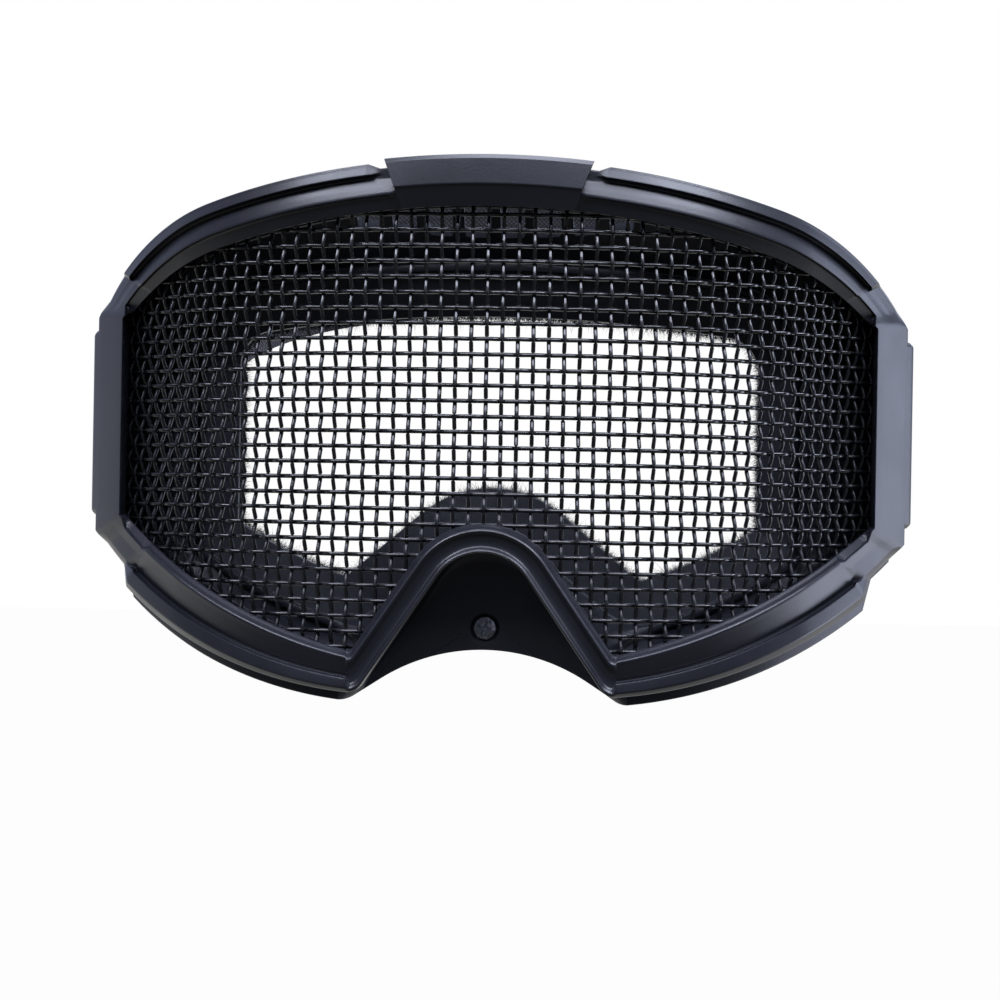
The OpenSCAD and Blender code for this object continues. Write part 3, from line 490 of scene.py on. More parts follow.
def node(material, kind, inputs=None, **settings):
    """A node with its settings, and its inputs as values or as links from sockets."""
    made = material.node_tree.nodes.new(kind)
    for name, value in settings.items():
        setattr(made, name, value)
    for name, value in (inputs or {}).items():
        if isinstance(value, bpy.types.NodeSocket):
            material.node_tree.links.new(value, made.inputs[name])
        else:
            made.inputs[name].default_value = value
    return made


def new_material(name, shown):
    """A material, and where on the object a point of it lies."""
    material = bpy.data.materials.new(name)
    material.use_nodes = True
    material.diffuse_color = linear(shown)
    return material, node(material, "ShaderNodeTexCoord").outputs["Object"]


def surface(material, tone, colours, rough, height=None, bump=(0, 0), sockets=()):
    """Colours and roughness mixed by tone, relief with its strength and depth in millimetres."""
    shader = material.node_tree.nodes["Principled BSDF"]
    links = material.node_tree.links
    dark, light = colours
    colour = node(material, "ShaderNodeMix", {0: tone, 6: linear(dark), 7: linear(light)},
                  data_type="RGBA")
    links.new(colour.outputs[2], shader.inputs["Base Color"])
    if isinstance(rough, tuple):
        varied = node(material, "ShaderNodeMapRange", {
            "Value": tone, "From Min": 0.3, "From Max": 0.7, "To Min": rough[0],
            "To Max": rough[1]})
        links.new(varied.outputs["Result"], shader.inputs["Roughness"])
    else:
        shader.inputs["Roughness"].default_value = rough
    if height:
        relief = node(material, "ShaderNodeBump", {"Height": height, "Strength": bump[0],
                                                   "Distance": bump[1] / 1000})
        links.new(relief.outputs["Normal"], shader.inputs["Normal"])
    for name, value in dict(sockets).items():
        shader.inputs[name].default_value = value
    return material


def satin_abs():
    """Black ABS from a satin mould: bluish black, soft highlights, a grain of 0.4 mm."""
    m, at = new_material("satin_moulded_abs", "#1b1d25")
    cloud = node(m, "ShaderNodeTexNoise", {"Vector": at, "Scale": 45, "Detail": 3})
    grain = node(m, "ShaderNodeTexNoise", {"Vector": at, "Scale": 2600, "Detail": 2})
    return surface(m, cloud.outputs["Fac"], ("#101217", "#1a1d25"), (0.3, 0.4),
                   grain.outputs["Fac"], (0.35, 0.06), {"IOR": 1.53})


def filled_nylon():
    """Black glass-filled nylon of the hood and face frame: duller, with a coarser mould grain."""
    m, at = new_material("glass_filled_nylon", "#16181e")
    cloud = node(m, "ShaderNodeTexNoise", {"Vector": at, "Scale": 60, "Detail": 4})
    grain = node(m, "ShaderNodeTexNoise", {"Vector": at, "Scale": 1500, "Detail": 3})
    return surface(m, cloud.outputs["Fac"], ("#101219", "#1d212b"), (0.42, 0.55),
                   grain.outputs["Fac"], (0.2, 0.08), {"IOR": 1.53})


def lacquered_wire():
    """Steel wire, dip lacquered black: thin satin coat, a little uneven, grey highlights."""
    m, at = new_material("black_lacquered_steel_wire", "#1a1b1e")
    runs = node(m, "ShaderNodeTexNoise", {"Vector": at, "Scale": 420, "Detail": 3}).outputs["Fac"]
    return surface(m, runs, ("#060708", "#111215"), (0.24, 0.34), runs, (0.3, 0.06),
                   {"IOR": 1.5, "Coat Weight": 0.5, "Coat Roughness": 0.2})


def open_cell_foam():
    """Charcoal polyether foam: matt, with cells of about 0.8 mm and pores sunk in relief, darkened
    with painted shade.
    """
    m, at = new_material("open_cell_foam", "#1b1c20")
    cells = node(m, "ShaderNodeTexVoronoi", {"Vector": at, "Scale": 1250})
    lumps = node(m, "ShaderNodeTexNoise", {"Vector": at, "Scale": 300, "Detail": 4})
    pore_depth_and_shade = node(m, "ShaderNodeMapRange", {"Value": cells.outputs["Distance"], "From Min": 0.1,
                                           "From Max": 0.6}).outputs["Result"]
    height = node(m, "ShaderNodeMath", {0: pore_depth_and_shade, 1: lumps.outputs["Fac"]}, operation="ADD")
    # Painted shade: the colour darkens with the pores' depth, from the same map as their relief
    return surface(m, pore_depth_and_shade, ("#050608", "#18191f"), 0.95, height.outputs[0], (0.9, 0.4),
                   {"Specular IOR Level": 0.2})


def brushed_fleece():
    """Black brushed polyester fleece: short nap, soft sheen at the edges."""
    m, at = new_material("brushed_fleece", "#1a1b20")
    nap = node(m, "ShaderNodeTexNoise", {"Vector": at, "Scale": 900, "Detail": 5, "Roughness": 0.7})
    tufts = node(m, "ShaderNodeTexNoise", {"Vector": at, "Scale": 180, "Detail": 3})
    shade = node(m, "ShaderNodeMath", {0: nap.outputs["Fac"], 1: tufts.outputs["Fac"]},
                 operation="MULTIPLY")
    return surface(m, shade.outputs[0], ("#0b0c0e", "#45464d"), 0.95,
                   nap.outputs["Fac"], (0.8, 0.4),
                   {"Specular IOR Level": 0.15, "Sheen Weight": 0.35, "Sheen Roughness": 0.4})


def knitted_elastic():
    """Black knitted elastic: fine ribs 1.25 mm apart along the strap, stitches every 1.2 mm, with
    painted shade in the hollows between them.
    """
    m, at = new_material("knitted_elastic", "#1c1d22")
    uv = node(m, "ShaderNodeUVMap", uv_map="weave").outputs["UV"]
    split = node(m, "ShaderNodeSeparateXYZ", {"Vector": uv})
    waves = []
    for way, apart in (("X", 0.00125), ("Y", 0.0012)):
        turn = node(m, "ShaderNodeMath", {0: split.outputs[way], 1: 2 * math.pi / apart},
                    operation="MULTIPLY")
        waves.append(node(m, "ShaderNodeMath", {0: turn.outputs[0]}, operation="SINE").outputs[0])
    knit = node(m, "ShaderNodeMath", {0: waves[0], 1: waves[1]}, operation="MULTIPLY")
    level = node(m, "ShaderNodeMapRange", {"Value": knit.outputs[0], "From Min": -1,
                                           "From Max": 1}).outputs["Result"]
    fuzz = node(m, "ShaderNodeTexNoise", {"Vector": at, "Scale": 700, "Detail": 4})
    # Painted shade: the colour follows the knit's relief, lighter on the stitches and darker in
    # their hollows
    tone = node(m, "ShaderNodeMath", {0: level, 1: fuzz.outputs["Fac"]}, operation="MULTIPLY")
    return surface(m, tone.outputs[0], ("#0c0d0f", "#3a3b42"), 0.85, level, (0.7, 0.3),
                   {"Sheen Weight": 0.2})


def blackened_steel():
    """Zinc-plated steel screws, blackened: dark metal, fine turning marks, brighter wear."""
    m, at = new_material("blackened_screw_steel", "#4a4b50")
    wear = node(m, "ShaderNodeTexNoise", {"Vector": at, "Scale": 900, "Detail": 4}).outputs["Fac"]
    mask = node(m, "ShaderNodeMapRange", {"Value": wear, "From Min": 0.52, "From Max": 0.68})
    return surface(m, mask.outputs["Result"], ("#74767c", "#cfd1d6"), 0.38, wear, (0.2, 0.05),
                   {"Metallic": 1.0})


def acetal():
    """Black acetal of the clips and sliders: glossier than the bezel, with faint flow marks."""
    m, at = new_material("gloss_moulded_acetal", "#15161a")
    flow = node(m, "ShaderNodeTexNoise", {"Vector": at, "Scale": 120, "Detail": 2}).outputs["Fac"]
    return surface(m, flow, ("#0e0f12", "#1b1c21"), (0.22, 0.34), flow, (0.15, 0.2), {"IOR": 1.48})


def polyester_thread():
    """Black polyester sewing thread: a low sheen and a fine twist."""
    m, at = new_material("polyester_thread", "#2a2b31")
    twist = node(m, "ShaderNodeTexNoise", {"Vector": at, "Scale": 4000, "Detail": 2})
    return surface(m, twist.outputs["Fac"], ("#1c1d22", "#3b3c44"), 0.6)


ABS = satin_abs()
NYLON = filled_nylon()
WIRE = lacquered_wire()
FOAM = open_cell_foam()
FLEECE = brushed_fleece()
ELASTIC = knitted_elastic()
STEEL = blackened_steel()
ACETAL = acetal()
THREAD = polyester_thread()


def dress(piece, material, slot, body, *nodes):
    """A piece's material, the body it rides on, and the nodes it stands for; the slot argument is
    not used.
    """
    piece.data.materials.clear()
    piece.data.materials.append(material)
    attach(piece, body)
    if nodes:
        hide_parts(*nodes)


# Bezel: a moulded ring. Each row of its section has, for every zone in the zones' order, how far
# it lies from the opening to the rim, and its height above the lens
FOOT_H = SEAT_GAP - CLAMP_H
SEAT_H = BAND_H - SEAT_GAP
GROOVE_H = BAND_H - GROOVE_D
BEVEL_H = BAND_H - 0.4
bezel_section = [
    ([0] * 8, [LIP_H] * 8),
    ([0.1, 0.28, 0.3, 0.2, 0.07, 0.08, 0.04, 0.28],
     [SEAT_H, BEVEL_H + 0.1, BEVEL_H, BEVEL_H, BEVEL_H - 0.3, 3.4, BEVEL_H + 0.4,
      BEVEL_H + 0.1]),
    ([0.37, 0.31, 0.34, 0.24, 0.13, 0.17, 0.09, 0.31],
     [SEAT_H, BAND_H + 0.55, BAND_H + 0.2, BAND_H + 0.3, BAND_H + 0.4, 4.6, STRIP_H,
      BAND_H + 0.5]),
    ([0.43, 0.36, 0.4, 0.3, 0.18, 0.24, 0.3, 0.36],
     [SEAT_H, BAND_H + 0.5, BAND_H + 0.1, BAND_H + 0.2, BAND_H + 0.5, 4.95, STRIP_H,
      BAND_H + 0.5]),
    ([0.47, 0.5, 0.5, 0.46, 0.24, 0.31, 0.45, 0.5],
     [SEAT_H, BAND_H + 0.05, BAND_H, BAND_H, BAND_H + 0.2, 4.7, STRIP_H, BAND_H + 0.05]),
    ([0.6, 0.66, 0.6, 0.6, 0.55, 0.42, 0.6, 0.66],
     [SEAT_H, BAND_H - 0.65, BAND_H - 0.3, BAND_H, BEVEL_H - 0.3, 3.95, STRIP_H,
      BAND_H - 0.65]),
    ([0.64, 0.68, 0.66, 0.7, 0.59, 0.62, 0.7, 0.7],
     [SEAT_H, GROOVE_H + 0.3, BAND_H - 0.4, BAND_H, GROOVE_H, 3.7, STRIP_H, BAND_H - 0.68]),
    ([0.7, 0.72, 0.72, 0.78, 0.63, 0.8, 0.78, 0.74],
     [SEAT_H, GROOVE_H + 0.3, BAND_H - 0.4, BAND_H, GROOVE_H, 3.75, STRIP_H, BAND_H - 0.7]),
    ([0.73, 0.76, 0.74, 0.84, 0.66, 0.87, 0.84, 0.78],
     [SEAT_H, STRIP_H, BAND_H - 0.4, BAND_H, STRIP_H - 0.2, 4.35, STRIP_H, BAND_H - 0.72]),
    ([0.84, 0.93, 0.93, 0.93, 0.9, 0.94, 0.9, 0.85],
     [SEAT_H, STRIP_H - 0.75, BEVEL_H - 0.3, BEVEL_H, STRIP_H, 4.65, STRIP_H,
      BAND_H - 0.75]),
    ([0.88, 1, 1, 1, 1, 1, 1, 0.89],
     [BEVEL_H, BAND_H, LIP_H, LIP_H, BAND_H - 0.4, BAND_H, STRIP_H - 0.01, BAND_H - 0.8]),
    ([0.88, 1, 1, 1, 1, 1, 1, 0.89], FOOT_H),
]
foot_line = loop(OPEN, WIRE_TUCK + 1.2 + SEAT_GAP)


def brow_arc_z(p, x):
    """Height of an outline's brow at a distance x from the middle."""
    return p.top - p.brow_r + np.sqrt(p.brow_r ** 2 - np.asarray(x, float) ** 2)


PLATE_IN = OVERALL_W / 2 - PLATE_T
PIVOT_Y = lens_y(RIM_HALF_W) + 9.7
HUB_R = 9.5
PIVOT_D = 5.0
HEAD_D = PIVOT_D + 3.6
HEAD_T = 1.9
PIVOT_PLAY = 0.16
PLATE_CHAMFER = 6


def side_plate():
    """The flat plate at the right that carries the strap's pivot."""
    x0, x1 = PLATE_IN, OVERALL_W / 2
    front = lens_y(x0) - 2.5 * STRIP_H
    low, high = PLATE_Z - PLATE_H / 2, PLATE_Z + PLATE_H / 2
    back, tip = PIVOT_Y - 6, PIVOT_Y + 2
    end = [polar((PIVOT_Y, PLATE_Z), HUB_R, 90 - a) for a in range(-40, 41, 8)]
    outline = ([(front, low), (back, low), (tip, low + PLATE_CHAMFER)] + end
               + [(tip, high - PLATE_CHAMFER), (back, high), (front, high)])
    plate = blank("side_plate", outline, x0, x1)
    y0, rim_y, y1 = (lens_y(x) - STRIP_H / math.cos(lens_slope(x)) + 0.01
                     for x in (x0, RIM_HALF_W, x1))
    # The face in line with the band beside it, then the outer edge in line with the lens
    for normal in ((rim_y - y0 - 0.15, x0 - RIM_HALF_W, 0), (y1 - rim_y, RIM_HALF_W - x1, 0)):
        edit_all(plate)
        bpy.ops.mesh.bisect(plane_co=(RIM_HALF_W / 1000, rim_y / 1000, 0),
                            plane_no=Vector(normal).normalized(), use_fill=True, clear_outer=True)
    edit_all(plate, "DESELECT")
    bpy.ops.object.mode_set(mode="OBJECT")
    for edge in plate.data.edges:
        ends = [plate.data.vertices[i].co for i in edge.vertices]
        if all(abs(abs(v.z * 1000 - PLATE_Z) - PLATE_H / 2) < 0.01 for v in ends) and all(
                v.x * 1000 > x1 - 0.01 or v.y < min(y0, y1) / 1000 + 1e-3 for v in ends):
            edge.select = True
    bpy.ops.object.mode_set(mode="EDIT")
    bpy.ops.mesh.bevel(offset=0.001, segments=1)
    bpy.ops.object.mode_set(mode="OBJECT")
    cut(plate,
        rod("bore", (x0 - 1, PIVOT_Y, PLATE_Z), (x1 + 1, PIVOT_Y, PLATE_Z), PIVOT_D + PIVOT_PLAY),
        rod("counterbore", (x1 - HEAD_T - 0.2, PIVOT_Y, PLATE_Z), (x1 + 1, PIVOT_Y, PLATE_Z),
            HEAD_D + 0.4))
    rounded_edges(plate, 0.35, 3, 25)
    return to_frame(plate, PLACED)


def make_bezel():
    rows = [over_lens(mixed(open_line, rim_line, by_zone(t)), by_zone(h))
            for t, h in bezel_section]
    rows += [over_lens(foot_line, FOOT_H), over_lens(foot_line, CLAMP_H),
             over_lens(open_line, CLAMP_H)]
    piece = ring("bezel_ring", filleted(rows, 0.35))
    right = side_plate()
    left = mirrored(right, "left_plate")
    joined(piece, right, left)
    piece.name = "bezel_with_side_plates"
    crisp(piece)
    dress(piece, ABS, "moulded_plastic", "goggles", "front_bezel")


PEG_X = 12


def make_brow_block():
    """Its section, in shares of the band's width and heights above the lens, follows the brow."""
    section = [(-0.01, BAND_H), (1.07, BAND_H), (1.07, BAND_H + 0.5), (0.98, BLOCK_H - 0.9),
               (0.47, BLOCK_H), (0.435, BLOCK_H - 0.05), (0.42, BLOCK_H - 0.35),
               (-0.01, BAND_H + 0.1)]
    steps, n = 24, len(section)
    points = []
    for i in range(steps + 1):
        for t, h in section:
            x = (2 * i / steps - 1) * (BLOCK_LOW_W + (BLOCK_TOP_W - BLOCK_LOW_W) * t) / 2
            z0, z1 = brow_arc_z(OPEN, x), brow_arc_z(RIM, x)
            y = lens_y(x) - h / math.cos(lens_slope(x))
            points.append((x, y, z0 + (z1 - z0) * t))
    faces = bands(steps + 1, n)
    faces += [list(range(n)), [steps * n + k for k in range(n)][::-1]]
    piece = mesh_of("brow_block_cover", points, faces)
    outward(piece)
    rounded_edges(piece, 0.22, 2, 20)
    y, z = lens_y(PEG_X) - BAND_H - SEAT_Y, OPEN_TOP + BROW_BAND / 2
    for x in (-PEG_X, PEG_X):
        joined(piece, rod("peg", (x, y - 1, z), (x, y + 2, z), 3, 24))
    crisp(piece)
    dress(piece, ABS, "moulded_plastic", "goggles", "brow_block")


# Woven lens: warp and weft share the crimp, so that each passes over and under the other. The
# wires are drawn 8% thicker than in the part's source, as the photograph shows them
WARP_RISE = 0.42
WEFT_RISE = WEAVE_G - WARP_RISE
WIRE_DRAWN = 1.08
WIRE_STEPS = 5
WEFT_CLEAR = 0.95
WEFT_END = 0.3


def span_at(x):
    """Heights of the tucked outline's lower and upper edges at a distance x from the middle."""
    half = half_loop(OPEN, WIRE_TUCK)
    a = abs(x)
    crossings = []
    for p, q in zip(half[:-1], half[1:]):
        if (p[0] - a) * (q[0] - a) <= 0 and p[0] != q[0]:
            crossings.append(p[1] + (q[1] - p[1]) * (a - p[0]) / (q[0] - p[0]))
    return min(crossings), max(crossings)


def wires(name, paths):
    """Round wires along paths of points, as one mesh."""
    curve = bpy.data.curves.new(name, "CURVE")
    curve.dimensions = "3D"
    curve.bevel_depth = WIRE_D / 2000 * WIRE_DRAWN
    curve.bevel_resolution = 2
    curve.use_fill_caps = True
    curve.twist_mode = "Z_UP"
    for path in paths:
        spline = curve.splines.new("POLY")
        spline.points.add(len(path) - 1)
        for point, (x, y, z) in zip(spline.points, path):
            point.co = (x / 1000, (y - SEAT_Y) / 1000, z / 1000, 1)
    piece = bpy.data.objects.new(name, curve)
    bpy.context.scene.collection.objects.link(piece)
    pick(piece)
    bpy.ops.object.convert(target="MESH")
    piece = bpy.context.active_object
    piece.data.name = name
    bpy.ops.object.shade_smooth_by_angle(angle=math.radians(70))
    return piece


def make_woven_lens():
    step = PITCH / WIRE_STEPS
    count = max(i for i in range(1, 60)
                if lens_at(i * PITCH)[0] < OPEN_HALF_W + WIRE_TUCK - 0.4)
    numbers = range(-count, count + 1)
    spans, warp, weft = {}, [], []
    for i in numbers:
        x = lens_at(i * PITCH)[0]
        edges = [span_at(max(abs(x) + side, 0)) for side in (-WIRE_D / 2, WIRE_D / 2)]
        z0, z1 = max(e[0] for e in edges), min(e[1] for e in edges)
        spans[i] = span_at(x)
        t = lens_slope(x)
        out = (math.copysign(math.sin(t), x), -math.cos(t))
        way = -WARP_RISE if i % 2 == 0 else WARP_RISE
        path = []
        for z in sorted({z0, z1} | {k * step for k in range(-150, 150) if z0 < k * step < z1}):
            rise = way * math.cos(math.pi * z / PITCH)
            path.append((x + out[0] * rise, lens_y(x) + out[1] * rise, z))
        warp.append(path)
    for j in range(-30, 31):
        z = j * PITCH
        on = [i for i in numbers if spans[i][0] + WEFT_CLEAR < z < spans[i][1] - WEFT_CLEAR]
        if sum(1 for i in on if i >= 0) <= 2:
            continue
        way = WEFT_RISE if j % 2 == 0 else -WEFT_RISE
        runs = [on] if 0 in on else [[i for i in on if i < 0], [i for i in on if i > 0]]
        for run in runs:
            path = []
            for s in ([run[0] * PITCH - WEFT_END]
                      + [k * step for k in range(run[0] * WIRE_STEPS, run[-1] * WIRE_STEPS + 1)]
                      + [run[-1] * PITCH + WEFT_END]):
                path.append((*lens_at(s, way * math.cos(math.pi * s / PITCH)), z))
            weft.append(path)
    dress(wires("warp_wires", warp), WIRE, "lens_wire", "goggles", "mesh_warp_wires")
    dress(wires("weft_wires", weft), WIRE, "lens_wire", "goggles", "mesh_weft_wires")


# Hood behind the lens
WEB_Y = 11.0
WEB_T = 2.4
FLANGE_R = FACE_R + FOAM_T + SEAT_GAP
HOOD_REAR_R = FLANGE_R + FLANGE_T + SEAT_GAP
RIM_T = 2.2
NOSE_SCREW_Z = -42.3
NOSE_SCREW_D = 2.6
NOSE_HEAD_D = 5.2
NOSE_HEAD_T = 1.3
BOSS_L = 8
RIM_SCREW_D = 2.0
RIM_SEAT = CLAMP_H + RIM_T - 0.4
rim_screw_low = RIM_CHEEK[1] - math.sqrt(RIM.cheek_r ** 2 - (38 - RIM_CHEEK[0]) ** 2) + 3.2
RIM_SCREWS = [(side * x, lens_y(x) - SEAT_Y, z) for side in (-1, 1)
              for x, z in ((36, brow_arc_z(RIM, 36) - 4.9), (38, rim_screw_low))]
VENT_PITCH = 8
VENT_HALF_W = 2.7
VENT_TOP_N, VENT_TOP_Y, VENT_TOP_Z = 8, (12, 26), (31.8, 63.8)
VENT_CHEEK_N, VENT_CHEEK_X, VENT_CHEEK_Z = 4, 32, (-62, -28)
VENT_BEHIND_LENS, VENT_CHEEK_L = 9.5, 12


def part_way(a, b, t, ty):
    """From one loop towards another by t in front view and by ty in depth."""
    d = b - a
    return np.column_stack([a[:, 0] + d[:, 0] * t, a[:, 1] + d[:, 1] * ty, a[:, 2] + d[:, 2] * t])


def make_hood():
    """A shell from the lens's rim back to the face frame, which becomes the web at the nose."""
    def front(share, behind=0):
        return over_lens(mixed(open_line, body_line, share), -CLAMP_H - behind)

    def on_web(share, y):
        return at_depth(mixed(rim_line, web_line, share), y)

    rows = [front(0),
            toward_nose(front(0.5), over_lens(mixed(open_line, rim_line, 0.95), -CLAMP_H)),
            toward_nose(front(0.7), at_depth(mixed(open_line, rim_line, 0.97), WEB_Y - 1.4))]
    rows += [toward_nose(front(share, behind), on_web(web_share, WEB_Y + web_behind))
             for share, behind, web_share, web_behind in (
                 (0.85, 0, 0.08, 0), (0.9, 0, 0.35, 0), (0.95, 0, 0.65, 0), (1, 0, 1, 0),
                 (1, 1.2, 1, 0.6), (0.97, RIM_T, 1, 1.2))]
    # Where the wall's inner face starts at the rim, and how far both faces have narrowed midway
    wall_in = by_zone([0.77, 0.77, 0.45, 0.82, 0.84, 0.84, 0.45, 0.77])
    wall_mid = by_zone([0.3, 0.3, 0.55, 0.42, 0.3, 0.3, 0.55, 0.3])
    edge, inner = front(0.97, RIM_T), front(wall_in, RIM_T)
    rear = on_face(rear_line, HOOD_REAR_R)
    rear_in = on_face(loop(PORT, FOAM_W - HOOD_WALL), HOOD_REAR_R)
    rows += [
        mixed(part_way(edge, rear, wall_mid, 0.55), at_depth(web_line, WEB_Y + 1.8),
              nose_share ** 1.3),
        mixed(rear, at_depth(web_line + [0, 0.5], WEB_Y + WEB_T), nose_share ** 1.7),
        mixed(rear_in, on_web(0.85, WEB_Y + WEB_T), nose_share ** 1.7),
        toward_nose(part_way(inner, rear_in, wall_mid, 0.55), on_web(0.4, WEB_Y + WEB_T)),
        toward_nose(inner, at_depth(mixed(open_line, rim_line, 0.66), WEB_Y + WEB_T)),
        front(0, RIM_T),
    ]
    piece = ring("hood_shell", filleted(rows, 0.6))
    slots = [((i - (VENT_TOP_N - 1) / 2) * VENT_PITCH, VENT_TOP_Y, VENT_TOP_Z)
             for i in range(VENT_TOP_N)]
    for side in (-1, 1):
        for i in range(VENT_CHEEK_N):
            x = VENT_CHEEK_X + i * VENT_PITCH
            y = lens_y(x) + VENT_BEHIND_LENS
            slots.append((side * x, (y, y + VENT_CHEEK_L), VENT_CHEEK_Z))
    cutters = []
    for x, (y0, y1), (z0, z1) in slots:
        slot = bar("slot", (x - VENT_HALF_W, y0, z0), (x + VENT_HALF_W, y1, z1))
        rounded_edges(slot, 0.9, 3)
        cutters.append(to_frame(slot, PLACED))
    for x, y, z in RIM_SCREWS:
        for name, start, d in (("hole", y, 0.2), ("seat", y + RIM_SEAT, 1.5)):
            cutters.append(rod(name, (x, start, z), (x, y + 8, z), RIM_SCREW_D + d, 24))
    y = WEB_Y - SEAT_Y
    cutters.append(rod("hole", (0, y - 1, NOSE_SCREW_Z), (0, y + WEB_T + 1, NOSE_SCREW_Z),
                       NOSE_SCREW_D + 0.2, 24))
    cutters.append(rod("seat", (0, y - 1, NOSE_SCREW_Z), (0, y + NOSE_HEAD_T + 0.1, NOSE_SCREW_Z),
                       NOSE_HEAD_D + 0.4, 32))
    deselect()
    bpy.ops.mesh.primitive_cone_add(
        vertices=32, radius1=0.00345, radius2=0.0026, depth=0.001,
        location=(0, (y + 0.3) / 1000, NOSE_SCREW_Z / 1000), rotation=(-math.pi / 2, 0, 0))
    bpy.ops.object.transform_apply(location=True, rotation=True, scale=True)
    cutters.append(named("countersink"))
    cut(piece, *cutters)
    for side in (-1, 1):
        fold = rod("web_fold", (0, 0, 0), (0, 0, 7), 0.5, 12)
        joined(piece, to_frame(fold, (side * 4.8, y + 0.02, -43.9), rotation(side * 126, "Y")))
    smooth(piece)
    dress(piece, NYLON, "moulded_plastic", "goggles", "hood")


def make_face_frame():
    lip_at, lip_t, lip_l = FOAM_W - HOOD_WALL - SEAT_GAP, 1.6, 2.4
    lip_out, lip_in = loop(PORT, lip_at), loop(PORT, lip_at - lip_t)
    front_r = FLANGE_R + FLANGE_T
    lip_r = front_r + lip_l
    pad_y = WEB_Y + WEB_T + SEAT_GAP
    pad_t = 2.2
    parts = [0.5, 0.5, 0.5, 0.62, 0.78, 0.88]
    reach = spread([0.5 if j <= CHEEK_LAST else (parts + [0.94] * HALF_N)[j - CHEEK_LAST - 1]
                    for j in range(HALF_N)])
    pad_low = mixed(rim_line, web_line, reach)
    share = nose_share ** 1.7
    start = on_face(lip_in, front_r)
    end = at_depth(mixed(rim_line, web_line, reach * 0.5), pad_y)
    rows = [
        on_face(port_line, front_r),
        start,
        mixed(on_face(lip_in, lip_r), part_way(start, end, 0.35, 0.35), share),
        mixed(on_face(lip_out, lip_r), part_way(start, end, 0.7, 0.7), share),
        mixed(on_face(lip_out, front_r), end, share),
        mixed(on_face(rear_line, front_r), at_depth(pad_low, pad_y), share),
        mixed(on_face(rear_line, front_r - FLANGE_T / 3),
              at_depth(pad_low, pad_y + pad_t), share),
        mixed(on_face(rear_line, front_r - FLANGE_T / 1.5),
              at_depth(mixed(rim_line, web_line, reach * 0.62), pad_y + pad_t), share),
        on_face(rear_line, FLANGE_R),
        on_face(port_line, FLANGE_R),
    ]
    piece = ring("face_frame_flange", filleted(rows, 0.4))
    y = pad_y - SEAT_Y
    boss = rod("boss", (0, y + 0.2, NOSE_SCREW_Z), (0, y + BOSS_L, NOSE_SCREW_Z), 6.4, 32)
    rounded_edges(boss, 0.4)
    joined(piece, boss)
    smooth(piece)
    dress(piece, NYLON, "moulded_plastic", "goggles", "face_frame")


def make_pad(name, lines, fillet, steps, material, slot, node_name):
    """A padded ring from (distance outside the port, radius from the face's centre) pairs."""
    piece = ring(name, filleted([on_face(loop(PORT, o), r) for o, r in lines], fillet, steps))
    smooth(piece, 60)
    dress(piece, material, slot, "goggles", node_name)


def make_foam():
    back, middle, face = FACE_R + FOAM_T, FACE_R + FOAM_T / 2, FACE_R + FLEECE_T
    make_pad("foam_pad", [(0, back), (FOAM_W, back), (FOAM_W - 0.4, middle),
                          (FOAM_W - 1.6, face + 1.3), (FOAM_W - 4.5, face + 0.1),
                          (4.5, face + 0.1), (1.6, face + 1.3), (0.4, middle)],
             2.2, 4, FOAM, "foam", "face_foam")
    make_pad("fleece_face", [(0.9, FACE_R + 1.6), (4.5, face), (FOAM_W - 4.5, face),
                             (FOAM_W - 0.9, FACE_R + 1.6), (FOAM_W - 4.2, FACE_R), (4.2, FACE_R)],
             0.5, 3, FLEECE, "fleece", "foam_fleece")


FIBRES_PER_MM = 40
FIBRE_R = 0.045


def make_nap():
    """Loose fibres of fleece and foam round the eye port, seeded, each a thin three-sided spike."""
    points, faces = [], []
    edge = loop(PORT)
    inward = np.roll(edge, -1, 0) - np.roll(edge, 1, 0)
    inward = np.column_stack([inward[:, 1], -inward[:, 0]])
    inward /= np.linalg.norm(inward, axis=1)[:, None]
    step = np.linalg.norm(np.roll(edge, -1, 0) - edge, axis=1)
    for k in range(len(edge)):
        for _ in range(int(rng.poisson(step[k] * FIBRES_PER_MM))):
            at = edge[k] + (edge[(k + 1) % len(edge)] - edge[k]) * rng.random()
            depth = FACE_R + rng.uniform(2.2, FOAM_T - 0.6)
            y = FACE_C - math.sqrt(depth ** 2 - at[0] ** 2)
            base = np.array([at[0] - inward[k, 0] * 0.3, y, at[1] - inward[k, 1] * 0.3])
            lean = rng.normal(0, 0.8, 3)
            way = np.array([inward[k, 0], -0.25, inward[k, 1]]) + lean
            way /= np.linalg.norm(way)
            tip = base + way * (0.5 + rng.gamma(1.8, 0.5))
            side = np.cross(way, [0.3, 0.9, 0.2])
            side /= np.linalg.norm(side)
            other = np.cross(way, side)
            n = len(points)
            for a in (0, 2.1, 4.2):
                points.append(base + (side * math.cos(a) + other * math.sin(a)) * FIBRE_R)
            points.append(tip)
            faces += [[n, n + 1, n + 3], [n + 1, n + 2, n + 3], [n + 2, n, n + 3],
                      [n + 2, n + 1, n]]
    piece = mesh_of("fleece_nap", points, faces)
    outward(piece)
    dress(piece, FLEECE, "fleece", "goggles")


# Screws
def cross_head(name, at, d, t, shank_d, shank_end, turn):
    """A screw with a domed cross head that faces -Y, its head t thick from the point at."""
    x, y, z = at
    head = rod(name, at, (x, y + t, z), d, 32)
    rounded_edges(head, t * 0.35, 3)
    shank = rod("shank", (x, y + t * 0.4, z), (x, shank_end, z), shank_d, 20)
    cut(head, shank, operation="UNION")
    for k in (0, 90):
        arm = bar("arm", (x - d * 0.3, y - 0.5, z - d * 0.065),
                  (x + d * 0.3, y + t * 0.7, z + d * 0.065))
        cut(head, turned(arm, at, k + turn, "Y"))
    smooth(head)
    return head


